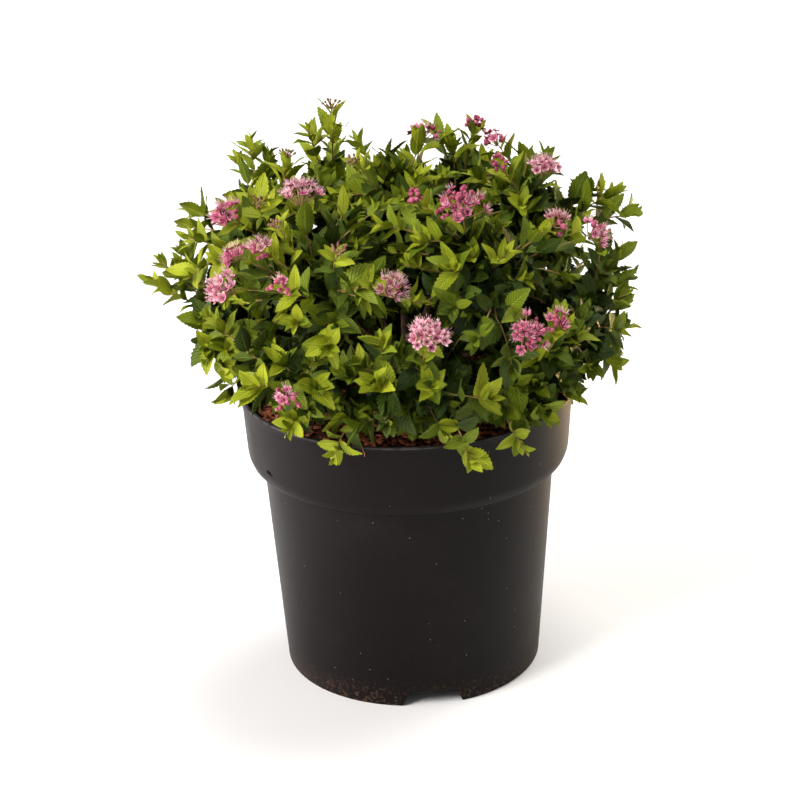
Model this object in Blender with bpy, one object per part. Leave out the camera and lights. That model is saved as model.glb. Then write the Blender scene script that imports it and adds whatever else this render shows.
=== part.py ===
# Pink spirea shrub in flower, growing in its round black nursery pot.
# Units are metres and +Z is up. The origin is the centre of the pot's underside, and -Y is the side
# that faces the viewer of the photograph. The crown is worked out about its heart, a point on the axis
# just above the rim: each foliage mass keeps to the cone of space that is nearest to its own direction.

import math
import random

import bmesh
import bpy
from mathutils import Vector
from mathutils.bvhtree import BVHTree

for leftover in list(bpy.data.objects):
    bpy.data.objects.remove(leftover, do_unlink=True)

# Clearance between neighbouring pieces
gap = 0.0003

# Pot
pot_sides = 40
pot_height = 0.203
wall = 0.0018
foot_radius = 0.0885
body_top_radius = 0.0995
body_top_height = 0.150
collar_bottom_radius = 0.1096
collar_bottom_height = 0.1577
collar_top_radius = 0.1126
lip_radius = 0.115
lip_height = 0.0032
floor_thickness = 0.0025
notch_count = 3
notch_bottom_width = 0.041
notch_top_width = 0.033
notch_height = 0.010
notch_bearing = math.radians(-82)
channel_inner_end = 0.030
channel_roof = 0.002
drain_radius = 0.005
drain_distance = 0.060

# Soil
soil_sides = 24
soil_height = 0.190
soil_edge_clearance = 0.0012
soil_bump = 0.0018
soil_seat_radius = 0.024

# Root crown, the short woody stem that the boughs rise from
stem_sides = 14
flare_radius = 0.019
head_radius = 0.0125
head_height = 0.016

# Crown envelope, a rounded drum with this half width and half height
heart = Vector((0, 0, 0.215))
crown_radius = 0.168
crown_half_height = 0.098
crown_middle = 0.277
crown_roundness = 2.5

# Boughs
bough_sides = 5
bough_steps = 5
bough_base_radius = 0.0027
bough_tip_radius = 0.0019
bough_reach = 0.38
bough_start_run = 0.018
bough_end_run = 0.022

# Foliage
shoot_count = 92
shoot_steps = 4
leader_radius = 0.0019
shoot_radius = 0.0013
shoot_tip_radius = 0.0007
leader_straight_run = 0.030
plain_tip_reach = (0.90, 0.99)
blossom_reach = 0.93
leaves_per_shoot = 5
leaf_length = 0.039
leaf_slimness = 0.60
leaf_thickness = 0.0009
leaf_fold = 0.0022
leaf_turn = math.radians(137.5)
leaf_tries = 6
tip_leaf_length = 0.022
tip_leaf_sink = 0.003
leaf_root_sink = 0.0004
space_margin = 0.00025
rim_band = 0.004
rim_room = 0.0012
soil_room = 0.004
overhang = 0.018
core_reach = 0.70
core_middle = 0.55
core_shrink = 0.90

# Rings of masses: how many, bearing of the first, height angle, height angle where the bough leaves the stem
mass_rings = (
    (8, 0, 13, 4),
    (6, 0, 45, 42),
    (1, 0, 88, 90),
)
bearing_jitter = 5
lift_jitter = 4

# Blossom heads that show: bearing and height angle in degrees seen from the heart, radius in millimetres
blossom_heads = (
    (53, 79, 14), (16, 68, 11), (-11, 57, 14), (-134, 57, 17), (-151, 45, 14), (-66, 57, 21),
    (-30, 39, 13), (-40, 45, 11), (-135, 41, 17), (-139, 31, 17), (-118, 35, 11), (-94, 36, 13),
    (-84, 27, 18), (-61, 26, 17), (-50, 27, 13), (-118, 12, 12),
    # On the hidden sides
    (168, 52, 15), (142, 30, 16), (128, 62, 13), (118, 40, 17), (96, 24, 14), (88, 56, 16),
    (70, 38, 13), (48, 24, 17), (40, 52, 14), (18, 36, 16), (-2, 20, 13), (172, 18, 13),
)
# Furthest shoot tips of the photograph's outline: bearing, height angle, reach beside the envelope's
outline_tips = (
    (-174, 20, 1.02), (171, 37, 0.98), (154, 46, 1.0), (145, 49, 1.09), (114, 56, 1.09), (26, 47, 0.98),
    (9, 37, 1.02), (-5, 23, 1.0), (-12, 12, 1.0), (-150, 3, 0.98), (-24, 4, 0.99),
)


def material(name, colour, roughness):
    made = bpy.data.materials.new(name)
    made.use_nodes = True
    shader = made.node_tree.nodes["Principled BSDF"]
    shader.inputs["Base Color"].default_value = (*colour, 1)
    shader.inputs["Roughness"].default_value = roughness
    shader.inputs["Metallic"].default_value = 0
    return made


black_plastic = material("black_plastic", (0.022, 0.020, 0.020), 0.5)
potting_soil = material("potting_soil", (0.10, 0.045, 0.030), 0.95)
bark = material("bark", (0.16, 0.085, 0.045), 0.85)
leaf_green = material("leaf_green", (0.13, 0.21, 0.045), 0.6)


def add_object(name, mesh, surface):
    made = bpy.data.objects.new(name, mesh)
    bpy.context.collection.objects.link(made)
    made.data.materials.append(surface)
    return made


def mesh_from(name, build):
    """A new mesh that the function build fills in through bmesh."""
    shape = bmesh.new()
    build(shape)
    bmesh.ops.recalc_face_normals(shape, faces=shape.faces)
    mesh = bpy.data.meshes.new(name)
    shape.to_mesh(mesh)
    shape.free()
    return mesh


def lathe(name, profile, sides, surface, reshape=None):
    """Turns a profile of (radius, height) points about the Z axis into a closed solid."""

    def build(shape):
        points = [shape.verts.new((radius, 0, height)) for radius, height in profile]
        edges = [shape.edges.new(pair) for pair in zip(points, points[1:])]
        bmesh.ops.spin(
            shape, geom=points + edges, cent=(0, 0, 0), axis=(0, 0, 1), angle=2 * math.pi, steps=sides
        )
        bmesh.ops.remove_doubles(shape, verts=shape.verts, dist=1e-6)
        if reshape:
            reshape(shape)

    return add_object(name, mesh_from(name, build), surface)


def shade_round(made, angle):
    made.data.shade_smooth()
    made.data.set_sharp_from_angle(angle=math.radians(angle))


# Pot: a turned outside, less a turned inside that leaves a wall, a floor and the roofs of the channels
outside = [
    (0, 0),
    (foot_radius - 0.0015, 0),
    (foot_radius, 0.0015),
    (body_top_radius, body_top_height),
    (body_top_radius + 0.0050, body_top_height + 0.0010),
    (collar_bottom_radius - 0.0018, collar_bottom_height - 0.0040),
    (collar_bottom_radius, collar_bottom_height),
    (collar_top_radius, pot_height - lip_height),
    (lip_radius, pot_height - lip_height + 0.0008),
    (lip_radius, pot_height - 0.0010),
    (lip_radius - 0.0010, pot_height),
    (0, pot_height),
]
inside = [
    (0, floor_thickness),
    (foot_radius - wall, floor_thickness),
    (body_top_radius - wall, body_top_height + wall),
    (body_top_radius + 0.0030, body_top_height + wall + 0.0006),
    (collar_bottom_radius - wall, collar_bottom_height + 0.0015),
    (collar_top_radius - wall, pot_height - lip_height),
    (collar_top_radius - 0.0010, pot_height - 0.0008),
    (collar_top_radius - 0.0002, pot_height + 0.002),
    (0, pot_height + 0.002),
]


def helper(made):
    made.hide_render = True
    made.display_type = "WIRE"
    return made


def helper_group(name, members):
    group = bpy.data.collections.new(name)
    bpy.context.scene.collection.children.link(group)
    for member in members:
        bpy.context.collection.objects.unlink(member)
        group.objects.link(member)
    return group


def channel(name, bearing, inner_end, extra):
    """A straight channel of trapezoid section from inner_end outwards, extra wider on every side."""
    bottom = -notch_height
    half_bottom = notch_bottom_width / 2 + extra
    half_top = notch_top_width / 2 + extra
    section = [
        (-half_bottom, bottom),
        (half_bottom, bottom),
        (half_top, notch_height + extra),
        (-half_top, notch_height + extra),
    ]

    def build(shape):
        face = shape.faces.new([shape.verts.new((inner_end, across, up)) for across, up in section])
        grown = bmesh.ops.extrude_face_region(shape, geom=[face])["geom"]
        moved = [item for item in grown if isinstance(item, bmesh.types.BMVert)]
        bmesh.ops.translate(shape, verts=moved, vec=(foot_radius + 0.02 - inner_end, 0, 0))

    made = helper(add_object(name, mesh_from(name, build), black_plastic))
    made.rotation_euler.z = bearing
    return made


def drain(name, bearing):
    mesh = bpy.data.meshes.new(name)
    shape = bmesh.new()
    bmesh.ops.create_cone(
        shape, cap_ends=True, segments=12, radius1=drain_radius, radius2=drain_radius, depth=notch_height
    )
    shape.to_mesh(mesh)
    shape.free()
    made = helper(add_object(name, mesh, black_plastic))
    made.location = (drain_distance * math.cos(bearing), drain_distance * math.sin(bearing), notch_height)
    return made


def subtract(made, group):
    cut = made.modifiers.new("cut_" + group.name, "BOOLEAN")
    cut.operation = "DIFFERENCE"
    cut.operand_type = "COLLECTION"
    cut.collection = group


bearings = [notch_bearing + 2 * math.pi * k / notch_count for k in range(notch_count)]
shells = []
hollows = []
for k, bearing in enumerate(bearings):
    shells.append(channel(f"channel_shell_{k}", bearing, channel_inner_end - channel_roof, channel_roof))
    hollows.append(channel(f"channel_hollow_{k}", bearing, channel_inner_end, 0))
    hollows.append(drain(f"drain_{k}", bearing))
cavity = helper(lathe("pot_inside", inside, pot_sides, black_plastic))
subtract(cavity, helper_group("channel_shells", shells))
pot = lathe("pot", outside, pot_sides, black_plastic)
subtract(pot, helper_group("pot_inside_cut", [cavity]))
subtract(pot, helper_group("channel_hollows", hollows))
shade_round(pot, 35)


# Soil: a plug that fills the pot from the channel roofs up, with an uneven top
def inner_radius(height):
    """Radius of the pot's inner face at a height."""
    for (r0, z0), (r1, z1) in zip(inside[1:], inside[2:]):
        if z0 <= height <= z1:
            return r0 + (r1 - r0) * (height - z0) / (z1 - z0)
    return collar_top_radius - wall


def soil_radius(height):
    return inner_radius(height) * math.cos(math.pi / pot_sides) - soil_edge_clearance


soil_bottom = notch_height + channel_roof + gap
soil_shoulder = body_top_height - 0.002
soil_profile = [
    (0, soil_bottom),
    (soil_radius(soil_bottom), soil_bottom),
    (soil_radius(soil_shoulder), soil_shoulder),
    (soil_radius(soil_shoulder) + 0.0005, collar_bottom_height + 0.006),
    (soil_radius(collar_bottom_height + 0.008), collar_bottom_height + 0.009),
    (soil_radius(soil_height - 0.003), soil_height - 0.003),
    (0.094, soil_height),
    (0.074, soil_height),
    (0.050, soil_height),
    (soil_seat_radius, soil_height),
    (0, soil_height),
]


def roughen(shape):
    rough = random.Random(11)
    for point in shape.verts:
        distance = math.hypot(point.co.x, point.co.y)
        if point.co.z > soil_height - 0.0001 and distance > soil_seat_radius + 0.001:
            point.co.z += rough.uniform(-soil_bump, soil_bump * 0.6)


soil = lathe("soil", soil_profile, soil_sides, potting_soil, roughen)


# Root crown: a flat cut on the soil, a flare, and a rounded head
stem_foot = soil_height + gap
head_centre = Vector((0, 0, stem_foot + head_height))
stem_profile = [(0, stem_foot), (flare_radius, stem_foot), (flare_radius * 0.84, stem_foot + 0.003)]
stem_profile += [
    (head_radius * math.cos(math.radians(a)), head_centre.z + head_radius * math.sin(math.radians(a)))
    for a in (-35, -10, 15, 40, 65)
]
stem_profile += [(0, head_centre.z + head_radius)]
stem = lathe("stem", stem_profile, stem_sides, bark)
shade_round(stem, 50)


# Crown space
def direction(bearing, lift):
    """Unit vector at a bearing and a height angle in degrees."""
    a = math.radians(bearing)
    b = math.radians(lift)
    return Vector((math.cos(a) * math.cos(b), math.sin(a) * math.cos(b), math.sin(b)))


def envelope_reach(way):
    """Distance from the heart to the crown's envelope, found by halving."""
    near = 0.0
    far = 0.3
    for _ in range(26):
        middle = (near + far) / 2
        point = heart + way * middle
        across = math.hypot(point.x, point.y) / crown_radius
        along = abs(point.z - crown_middle) / crown_half_height
        if across**crown_roundness + along**crown_roundness < 1:
            near = middle
        else:
            far = middle
    return near


mass_ways = []
bough_starts = []
unevenness = random.Random(3)
for count, first, lift, start_lift in mass_rings:
    for k in range(count):
        bearing = first + 360 * k / count + unevenness.uniform(-bearing_jitter, bearing_jitter)
        mass_ways.append(direction(bearing, lift + unevenness.uniform(-lift_jitter, lift_jitter)))
        bough_starts.append(direction(bearing, start_lift))


def nearest_mass(way):
    return max(range(len(mass_ways)), key=lambda k: way.dot(mass_ways[k]))


def side_room(point, mass):
    """How far a point lies inside the mass's own cone, from its nearest side."""
    spot = point - heart
    return min(
        spot.dot((mass_ways[mass] - other).normalized()) for k, other in enumerate(mass_ways) if k != mass
    )


def clears_pot(point):
    """True outside a band round the pot's rim, above the soil, and not far down the pot's outside."""
    distance = math.hypot(point.x, point.y)
    if distance <= collar_top_radius - rim_band:
        return point.z > soil_height + soil_room
    if distance < lip_radius + rim_room:
        return point.z > pot_height + rim_room
    return point.z > pot_height - overhang


def has_room(points, mass, inner_limit):
    """True where every point is in the mass's space: its cone, beyond the bough's tip, clear of the pot."""
    for point in points:
        if (point - heart).length < inner_limit or not clears_pot(point):
            return False
        if side_room(point, mass) < space_margin:
            return False
    return True


# Shoot tips: the blossom heads, the outline's tips, then an even spread over the rest of the crown
def spread_tips():
    tips = [(direction(a, b), blossom_reach, size / 1000) for a, b, size in blossom_heads]
    tips += [(direction(a, b), reach, 0) for a, b, reach in outline_tips]
    chance = random.Random(5)
    while len(tips) < shoot_count:
        best = None
        for _ in range(30):
            lift = math.degrees(math.asin(chance.uniform(-0.06, 1)))
            way = direction(chance.uniform(0, 360), lift)
            nearest = max(way.dot(known[0]) for known in tips)
            if best is None or nearest < best[0]:
                best = (nearest, way)
        tips.append((best[1], chance.uniform(*plain_tip_reach), 0))
    return tips


# Limbs and leaves, each a pair of a list of points and a list of faces
def bezier(ends, share):
    """Point on the curve of three or four control points at a share of its run."""
    points = list(ends)
    while len(points) > 1:
        points = [a.lerp(b, share) for a, b in zip(points, points[1:])]
    return points[0]


def curve_points(ends, steps):
    return [bezier(ends, k / steps) for k in range(steps + 1)]


def any_side(way):
    """A unit vector square to way."""
    upright = abs(way.normalized().z) > 0.8
    return way.cross(Vector((1, 0, 0)) if upright else Vector((0, 0, 1))).normalized()


def taper(first, last, steps):
    return [first + (last - first) * k / steps for k in range(steps + 1)]


def circle(centre, side, across, radius, count):
    turn = 2 * math.pi / count
    return [centre + (side * math.cos(turn * n) + across * math.sin(turn * n)) * radius for n in range(count)]


def joined_rings(ring_count, sides):
    """Quads between rings of points that follow each other."""
    faces = []
    for k in range(ring_count - 1):
        for n in range(sides):
            m = (n + 1) % sides
            faces.append((k * sides + n, k * sides + m, (k + 1) * sides + m, (k + 1) * sides + n))
    return faces


def tube(path, radii, sides):
    """A tapering tube with flat ends along a path, with its rings carried along without twist."""
    side = any_side(path[1] - path[0])
    points = []
    for k, centre in enumerate(path):
        along = (path[min(k + 1, len(path) - 1)] - path[max(k - 1, 0)]).normalized()
        side = (side - along * side.dot(along)).normalized()
        points += circle(centre, side, along.cross(side), radii[k], sides)
    faces = joined_rings(len(path), sides)
    faces.append(tuple(reversed(range(sides))))
    faces.append(tuple(range(len(points) - sides, len(points))))
    return points, faces


def leaf(root, along, face, length):
    """A folded blade of eight faces: its root, tip, left and right, and the rib's upper and under side."""
    across = along.cross(face).normalized()
    face = across.cross(along)
    widest = root + along * length * 0.42
    half = across * length * leaf_slimness / 2
    lift = face * leaf_fold
    half_rib = face * leaf_thickness / 2
    ring = [widest + half + lift, widest + half_rib, widest - half + lift, widest - half_rib]
    faces = [(0, 2 + k, 2 + (k + 1) % 4) for k in range(4)]
    faces += [(1, 2 + (k + 1) % 4, 2 + k) for k in range(4)]
    return [root, root + along * length] + ring, faces


def blossom(centre, up, radius):
    """A shallow dome of eight sides with a pointed underside, for a flat head of small flowers."""
    side = any_side(up)
    across = up.cross(side)
    points = []
    for share, height in ((0.70, -0.34), (1.0, 0.02), (0.62, 0.42)):
        points += circle(centre + up * radius * height, side, across, radius * share, 8)
    faces = joined_rings(3, 8)
    low = len(points)
    points += [centre - up * radius * 0.55, centre + up * radius * 0.56]
    faces += [(low, (n + 1) % 8, n) for n in range(8)]
    faces += [(low + 1, 16 + n, 16 + (n + 1) % 8) for n in range(8)]
    return points, faces


def bough_path(mass):
    way = mass_ways[mass]
    start = head_centre + bough_starts[mass] * (head_radius + gap)
    tip = heart + way * bough_reach * envelope_reach(way)
    ends = (start, start + bough_starts[mass] * bough_start_run, tip - way * bough_end_run, tip)
    return curve_points(ends, bough_steps)


def core(mass, inner_limit):
    """A faceted body that fills the inside of the mass's space, for its crowded inner twigs and leaves."""
    middle = heart + mass_ways[mass] * core_middle * envelope_reach(mass_ways[mass])
    shape = bmesh.new()
    bmesh.ops.create_icosphere(shape, subdivisions=2, radius=1)
    for point in shape.verts:
        ray = point.co.normalized()
        near = 0.0
        far = 0.1
        for _ in range(16):
            reach = (near + far) / 2
            spot = middle + ray * reach
            inside = (spot - heart).length < core_reach * envelope_reach((spot - heart).normalized())
            if inside and has_room([spot], mass, inner_limit + 0.004):
                near = reach
            else:
                far = reach
        point.co = middle + ray * near * core_shrink
    points = [point.co.copy() for point in shape.verts]
    faces = [tuple(corner.index for corner in face.verts) for face in shape.faces]
    shape.free()
    return points, faces


def exit_share(path, core_tree):
    """Share of a shoot's run at which it leaves the core."""
    samples = 24
    for k in range(samples, -1, -1):
        spot = path_point(path, k / samples)
        near, normal, _, _ = core_tree.find_nearest(spot)
        if (spot - near).dot(normal) < 0.001:
            return k / samples
    return 0


def path_point(path, share):
    spot = share * (len(path) - 1)
    lower = min(int(spot), len(path) - 2)
    return path[lower].lerp(path[lower + 1], spot - lower)


def shoot_leaves(path, first_share, mass, inner_limit, chance, count, others):
    """Leaves set round a shoot, each turned on from the last, where they have room and cross nothing."""
    found = []
    side = any_side(path[1] - path[0])
    turn = chance.uniform(0, 2 * math.pi)
    for k in range(count):
        share = first_share + (0.97 - first_share) * (k + 0.3) / count
        root = path_point(path, share)
        along = (path_point(path, share + 0.02) - root).normalized()
        first = (side - along * side.dot(along)).normalized()
        second = along.cross(first)
        outward = (root - heart).normalized()
        for attempt in range(leaf_tries):
            turn += leaf_turn
            spread = math.radians(72 - 34 * k / count - 4 * attempt)
            around = first * math.cos(turn) + second * math.sin(turn)
            way = (along * math.cos(spread) + around * math.sin(spread) + Vector((0, 0, 0.12))).normalized()
            length = leaf_length * (1.06 - 0.26 * k / count) * chance.uniform(0.88, 1.08) * 0.95**attempt
            blade = leaf(root - way * leaf_root_sink, way, along + outward * 0.9, length)
            if blade_fits(blade, mass, inner_limit, others):
                found.append(blade)
                others.append(BVHTree.FromPolygons(*blade))
                break
    return found


def blade_fits(blade, mass, inner_limit, others):
    root, tip, left, _, right, _ = blade[0]
    edge_points = list(blade[0][1:])
    for share in (0.25, 0.5, 0.75):
        edge_points += [root.lerp(c, share) for c in (tip, left, right)]
        edge_points += [tip.lerp(c, share) for c in (left, right)]
    if not has_room(edge_points, mass, inner_limit):
        return False
    own = BVHTree.FromPolygons(*blade)
    return not any(own.overlap(other) for other in others)


def round_points(centre, radius):
    """A tip with the corners of a box round its blossom head, where it has one."""
    corners = [Vector((x, y, z)) for x in (-0.7, 0.7) for y in (-0.7, 0.7) for z in (-0.55, 0.55)]
    return [centre] + [centre + corner * radius for corner in corners if radius]


def pull_in(way, mass, reach, room):
    """Turns a tip's direction towards the mass's middle until it has that much room at its sides."""
    for _ in range(40):
        if side_room(heart + way * reach, mass) > room:
            break
        way = way.lerp(mass_ways[mass], 0.06).normalized()
    return way


def mass_pieces(mass, tips):
    """The solids of one foliage mass: its leader first, then side shoots, blossom heads and leaves."""
    chance = random.Random(100 + mass)
    middle = mass_ways[mass]
    base = heart + middle * (bough_reach * envelope_reach(middle) + gap)
    inner_limit = (base - heart).length + 0.0012
    own = sorted((tip for tip in tips if nearest_mass(tip[0]) == mass), key=lambda tip: -tip[0].dot(middle))
    shoots = []
    heads = []
    paths = []
    for order, (way, reach, head) in enumerate(own):
        full = envelope_reach(way) * reach
        way = pull_in(way, mass, full, head + 0.001 if head else 0.004)
        stop = heart + way * (full - (head * 0.6 if head else tip_leaf_length + tip_leaf_sink))
        while not has_room(round_points(stop, head), mass, inner_limit):
            stop += Vector((0, 0, 0.002)) - way * 0.001
        if order == 0:
            leader_ends = (base, base + middle * leader_straight_run, stop)
            path = curve_points(leader_ends, shoot_steps)
            path[1] = base + middle * (path[1] - base).length
            radii = taper(leader_radius, shoot_tip_radius, shoot_steps)
        else:
            start = bezier(leader_ends, 0.10 + 0.52 * order / len(own))
            lean = (middle + way) * (stop - start).length * 0.22
            path = curve_points((start, start + lean, stop), shoot_steps)
            radii = taper(shoot_radius, shoot_tip_radius, shoot_steps)
        paths.append((path, head))
        shoots.append(tube(path, radii, 3))
        if head:
            up = ((path[-1] - path[-2]).normalized() + Vector((0, -0.2, 0.7))).normalized()
            heads.append(blossom(stop, up, head))
    inside = core(mass, inner_limit)
    core_tree = BVHTree.FromPolygons(*inside)
    solid_trees = [BVHTree.FromPolygons(*piece) for piece in shoots]
    others = [pot_tree, core_tree] + [BVHTree.FromPolygons(*piece) for piece in heads]
    leaves = []
    for path, head in paths:
        if not head:
            along = (path[-1] - path[-2]).normalized()
            facing = Vector((0, 0, 1)) + (path[-1] - heart).normalized()
            last = leaf(path[-1] - along * tip_leaf_sink, along, facing, tip_leaf_length)
            if blade_fits(last, mass, inner_limit, others):
                leaves.append(last)
                others.append(BVHTree.FromPolygons(*last))
    for order, (path, _) in enumerate(paths):
        around = others + solid_trees[:order] + solid_trees[order + 1 :]
        first_share = exit_share(path, core_tree)
        grown = shoot_leaves(path, first_share, mass, inner_limit, chance, leaves_per_shoot, around)
        leaves += grown
        others += [BVHTree.FromPolygons(*blade) for blade in grown]
    return shoots + [inside] + heads + leaves


def solid_mesh(name, piece):
    points, faces = piece
    mesh = bpy.data.meshes.new(name)
    mesh.from_pydata(points, [], faces)
    shape = bmesh.new()
    shape.from_mesh(mesh)
    bmesh.ops.recalc_face_normals(shape, faces=shape.faces)
    shape.to_mesh(mesh)
    shape.free()
    return mesh


def keep_largest_island(mesh):
    """Drops loose scraps and the faces of sealed hollows, leaving the one outer skin."""
    shape = bmesh.new()
    shape.from_mesh(mesh)
    waiting = set(shape.verts)
    islands = []
    while waiting:
        stack = [waiting.pop()]
        island = []
        while stack:
            point = stack.pop()
            island.append(point)
            for edge in point.link_edges:
                other = edge.other_vert(point)
                if other in waiting:
                    waiting.remove(other)
                    stack.append(other)
        islands.append(island)
    islands.sort(key=len)
    for island in islands[:-1]:
        bmesh.ops.delete(shape, geom=island, context="VERTS")
    shape.to_mesh(mesh)
    shape.free()


def is_closed(mesh):
    shape = bmesh.new()
    shape.from_mesh(mesh)
    closed = all(len(edge.link_faces) == 2 for edge in shape.edges)
    shape.free()
    return closed


def fuse(name, pieces, surface):
    """Joins overlapping solids into one by a Boolean union, and keeps only the result."""
    made = add_object(name, solid_mesh(name, pieces[0]), surface)
    others = []
    for k, piece in enumerate(pieces[1:]):
        others.append(add_object(f"{name}_{k}", solid_mesh(name, piece), surface))
    group = helper_group(name + "_pieces", others)
    union = made.modifiers.new("union", "BOOLEAN")
    union.operation = "UNION"
    union.operand_type = "COLLECTION"
    union.collection = group
    for solver in ("EXACT", "MANIFOLD"):
        union.solver = solver
        joined = bpy.data.meshes.new_from_object(made.evaluated_get(bpy.context.evaluated_depsgraph_get()))
        keep_largest_island(joined)
        if is_closed(joined):
            break
    made.modifiers.clear()
    made.data = joined
    for other in others:
        bpy.data.objects.remove(other, do_unlink=True)
    bpy.data.collections.remove(group)


all_tips = spread_tips()
pot_tree = BVHTree.FromObject(pot, bpy.context.evaluated_depsgraph_get())
for number in range(len(mass_ways)):
    name = f"bough_{number:02d}"
    limb = tube(bough_path(number), taper(bough_base_radius, bough_tip_radius, bough_steps), bough_sides)
    shade_round(add_object(name, solid_mesh(name, limb), bark), 80)
    fuse(f"foliage_{number:02d}", mass_pieces(number, all_tips), leaf_green)
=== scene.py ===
import math
import random

import bpy
import numpy as np
from mathutils import Matrix


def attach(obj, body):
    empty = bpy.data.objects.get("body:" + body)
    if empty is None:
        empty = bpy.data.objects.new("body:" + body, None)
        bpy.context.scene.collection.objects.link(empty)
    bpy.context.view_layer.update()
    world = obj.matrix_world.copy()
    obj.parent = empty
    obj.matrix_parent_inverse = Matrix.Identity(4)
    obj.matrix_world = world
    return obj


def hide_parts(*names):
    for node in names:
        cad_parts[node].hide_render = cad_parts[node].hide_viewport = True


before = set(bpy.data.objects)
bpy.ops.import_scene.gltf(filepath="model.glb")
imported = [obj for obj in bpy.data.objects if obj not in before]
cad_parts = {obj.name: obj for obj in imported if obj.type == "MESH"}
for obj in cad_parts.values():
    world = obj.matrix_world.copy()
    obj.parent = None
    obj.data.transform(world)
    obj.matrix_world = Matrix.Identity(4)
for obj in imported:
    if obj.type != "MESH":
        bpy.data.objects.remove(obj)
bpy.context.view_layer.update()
foliageNodes = sorted(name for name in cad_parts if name.startswith("foliage"))
boughNodes = sorted(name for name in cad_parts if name.startswith("bough"))


# Finishes: shader maths as plain expressions
class Level:
    # A number that varies over a surface. Arithmetic and comparisons on it add Math nodes
    def __init__(self, finish, socket):
        self.finish = finish
        self.socket = socket

    def do(self, operation, *values):
        return self.finish.add("ShaderNodeMath", {"operation": operation}, values)

    def __add__(self, other):
        return self.do("ADD", self, other)

    def __sub__(self, other):
        return self.do("SUBTRACT", self, other)

    def __rsub__(self, other):
        return self.do("SUBTRACT", other, self)

    def __mul__(self, other):
        return self.do("MULTIPLY", self, other)

    def __gt__(self, other):
        return self.do("GREATER_THAN", self, other)

    def __lt__(self, other):
        return self.do("LESS_THAN", self, other)

    def __abs__(self):
        return self.do("ABSOLUTE", self)

    def between(self, low, high):
        # 0 below low, 1 above high, and a smooth rise from one to the other
        sockets = {"Value": self, "From Min": low, "From Max": high}
        return self.finish.add("ShaderNodeMapRange", {"interpolation_type": "SMOOTHSTEP"}, sockets)


class Finish:
    # One material: constants sit on the shader's own sockets, and nodes feed only what varies
    def __init__(self, name, colour, roughness, **constants):
        self.material = bpy.data.materials.new(name)
        self.material.use_nodes = True
        self.tree = self.material.node_tree
        self.shader = self.tree.nodes["Principled BSDF"]
        self.feed("Base Color", (*colour, 1))
        self.feed("Roughness", roughness)
        for socket, value in constants.items():
            self.feed(socket.replace("_", " "), value)

    def plug(self, socket, value):
        if isinstance(value, Level):
            self.tree.links.new(value.socket, socket)
        else:
            socket.default_value = value

    def feed(self, socket, value):
        self.plug(self.shader.inputs[socket], value)

    def add(self, kind, settings, values, output=0):
        # Any node: its settings first, then its sockets by name or in order
        node = self.tree.nodes.new(kind)
        for setting, value in settings.items():
            if setting == "stops":
                self.setStops(node.color_ramp, value)
            else:
                setattr(node, setting, value)
        named = values.items() if isinstance(values, dict) else enumerate(values)
        for socket, value in named:
            self.plug(node.inputs[socket], value)
        return Level(self, node.outputs[output])

    def setStops(self, ramp, stops):
        while len(ramp.elements) < len(stops):
            ramp.elements.new(0.5)
        for element, (place, colour) in zip(ramp.elements, stops):
            element.position = place
            element.color = (*colour, 1)

    def place(self, source="Object"):
        return self.add("ShaderNodeTexCoord", {}, {}, source)

    def axis(self, vector, name):
        return self.add("ShaderNodeSeparateXYZ", {}, [vector], name)

    def attribute(self, name):
        return self.add("ShaderNodeAttribute", {"attribute_name": name}, {}, "Fac")

    def stretch(self, vector, scale):
        return self.add("ShaderNodeMapping", {}, {"Vector": vector, "Scale": scale})

    def noise(self, vector, scale, detail=3, roughness=0.55):
        sockets = {"Vector": vector, "Scale": scale, "Detail": detail, "Roughness": roughness}
        return self.add("ShaderNodeTexNoise", {}, sockets)

    def cells(self, vector, scale, output="Distance"):
        return self.add("ShaderNodeTexVoronoi", {}, {"Vector": vector, "Scale": scale}, output)

    def mix(self, share, first, second):
        # First colour where share is 0, second where it is 1
        pair = [(*c, 1) if isinstance(c, tuple) else c for c in (first, second)]
        return self.add("ShaderNodeMix", {"data_type": "RGBA"}, {0: share, 6: pair[0], 7: pair[1]}, 2)

    def ramp(self, share, stops):
        # A colour for each share, blended between the stops
        return self.add("ShaderNodeValToRGB", {"stops": stops}, [share])

    def bump(self, height, strength, distance):
        made = self.add("ShaderNodeBump", {}, {"Strength": strength, "Distance": distance, "Height": height})
        self.feed("Normal", made)


def mottled(name, dark, light, scale, roughness, **constants):
    # The finish of a small part: its colour wanders between two tones
    f = Finish(name, light, roughness, **constants)
    f.feed("Base Color", f.mix(f.noise(f.place(), scale, 2).between(0.35, 0.65), dark, light))
    return f


# Shapes: a shape is a pair, its points and a list of face arrays
def unit(vectors):
    # Each vector divided by its own length
    return vectors / np.maximum(np.linalg.norm(vectors, axis=-1, keepdims=True), 1e-12)


def dots(first, second):
    return (first * second).sum(axis=-1, keepdims=True)


def circle(count):
    # Angles in equal steps round a full turn
    return np.arange(count) * 2 * math.pi / count


def gridFaces(rows, columns, loop=False):
    # Quads of a grid of points numbered row by row; loop joins the last column to the first
    r, c = np.meshgrid(np.arange(rows - 1), np.arange(columns if loop else columns - 1), indexing="ij")
    low, high, beside = r * columns, (r + 1) * columns, (c + 1) % columns
    return np.stack([low + c, low + beside, high + beside, high + c], -1).reshape(-1, 4)


def closedFaces(rows, columns):
    # A looped grid's quads, and the triangles that close its first and last rows on the two points after it
    ring = np.arange(columns)
    beside = (ring + 1) % columns
    hub = rows * columns
    top = hub - columns
    low = np.stack([np.full(columns, hub), beside, ring], -1)
    high = np.stack([np.full(columns, hub + 1), top + ring, top + beside], -1)
    return [gridFaces(rows, columns, True), np.concatenate([low, high])]


def closedGrid(x, y, z, low, high):
    # A looped grid of points, closed on two points of the axis at those heights
    points = np.concatenate([np.stack([x, y, z], -1).reshape(-1, 3), [[0, 0, low], [0, 0, high]]])
    return points, closedFaces(*x.shape)


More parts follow.
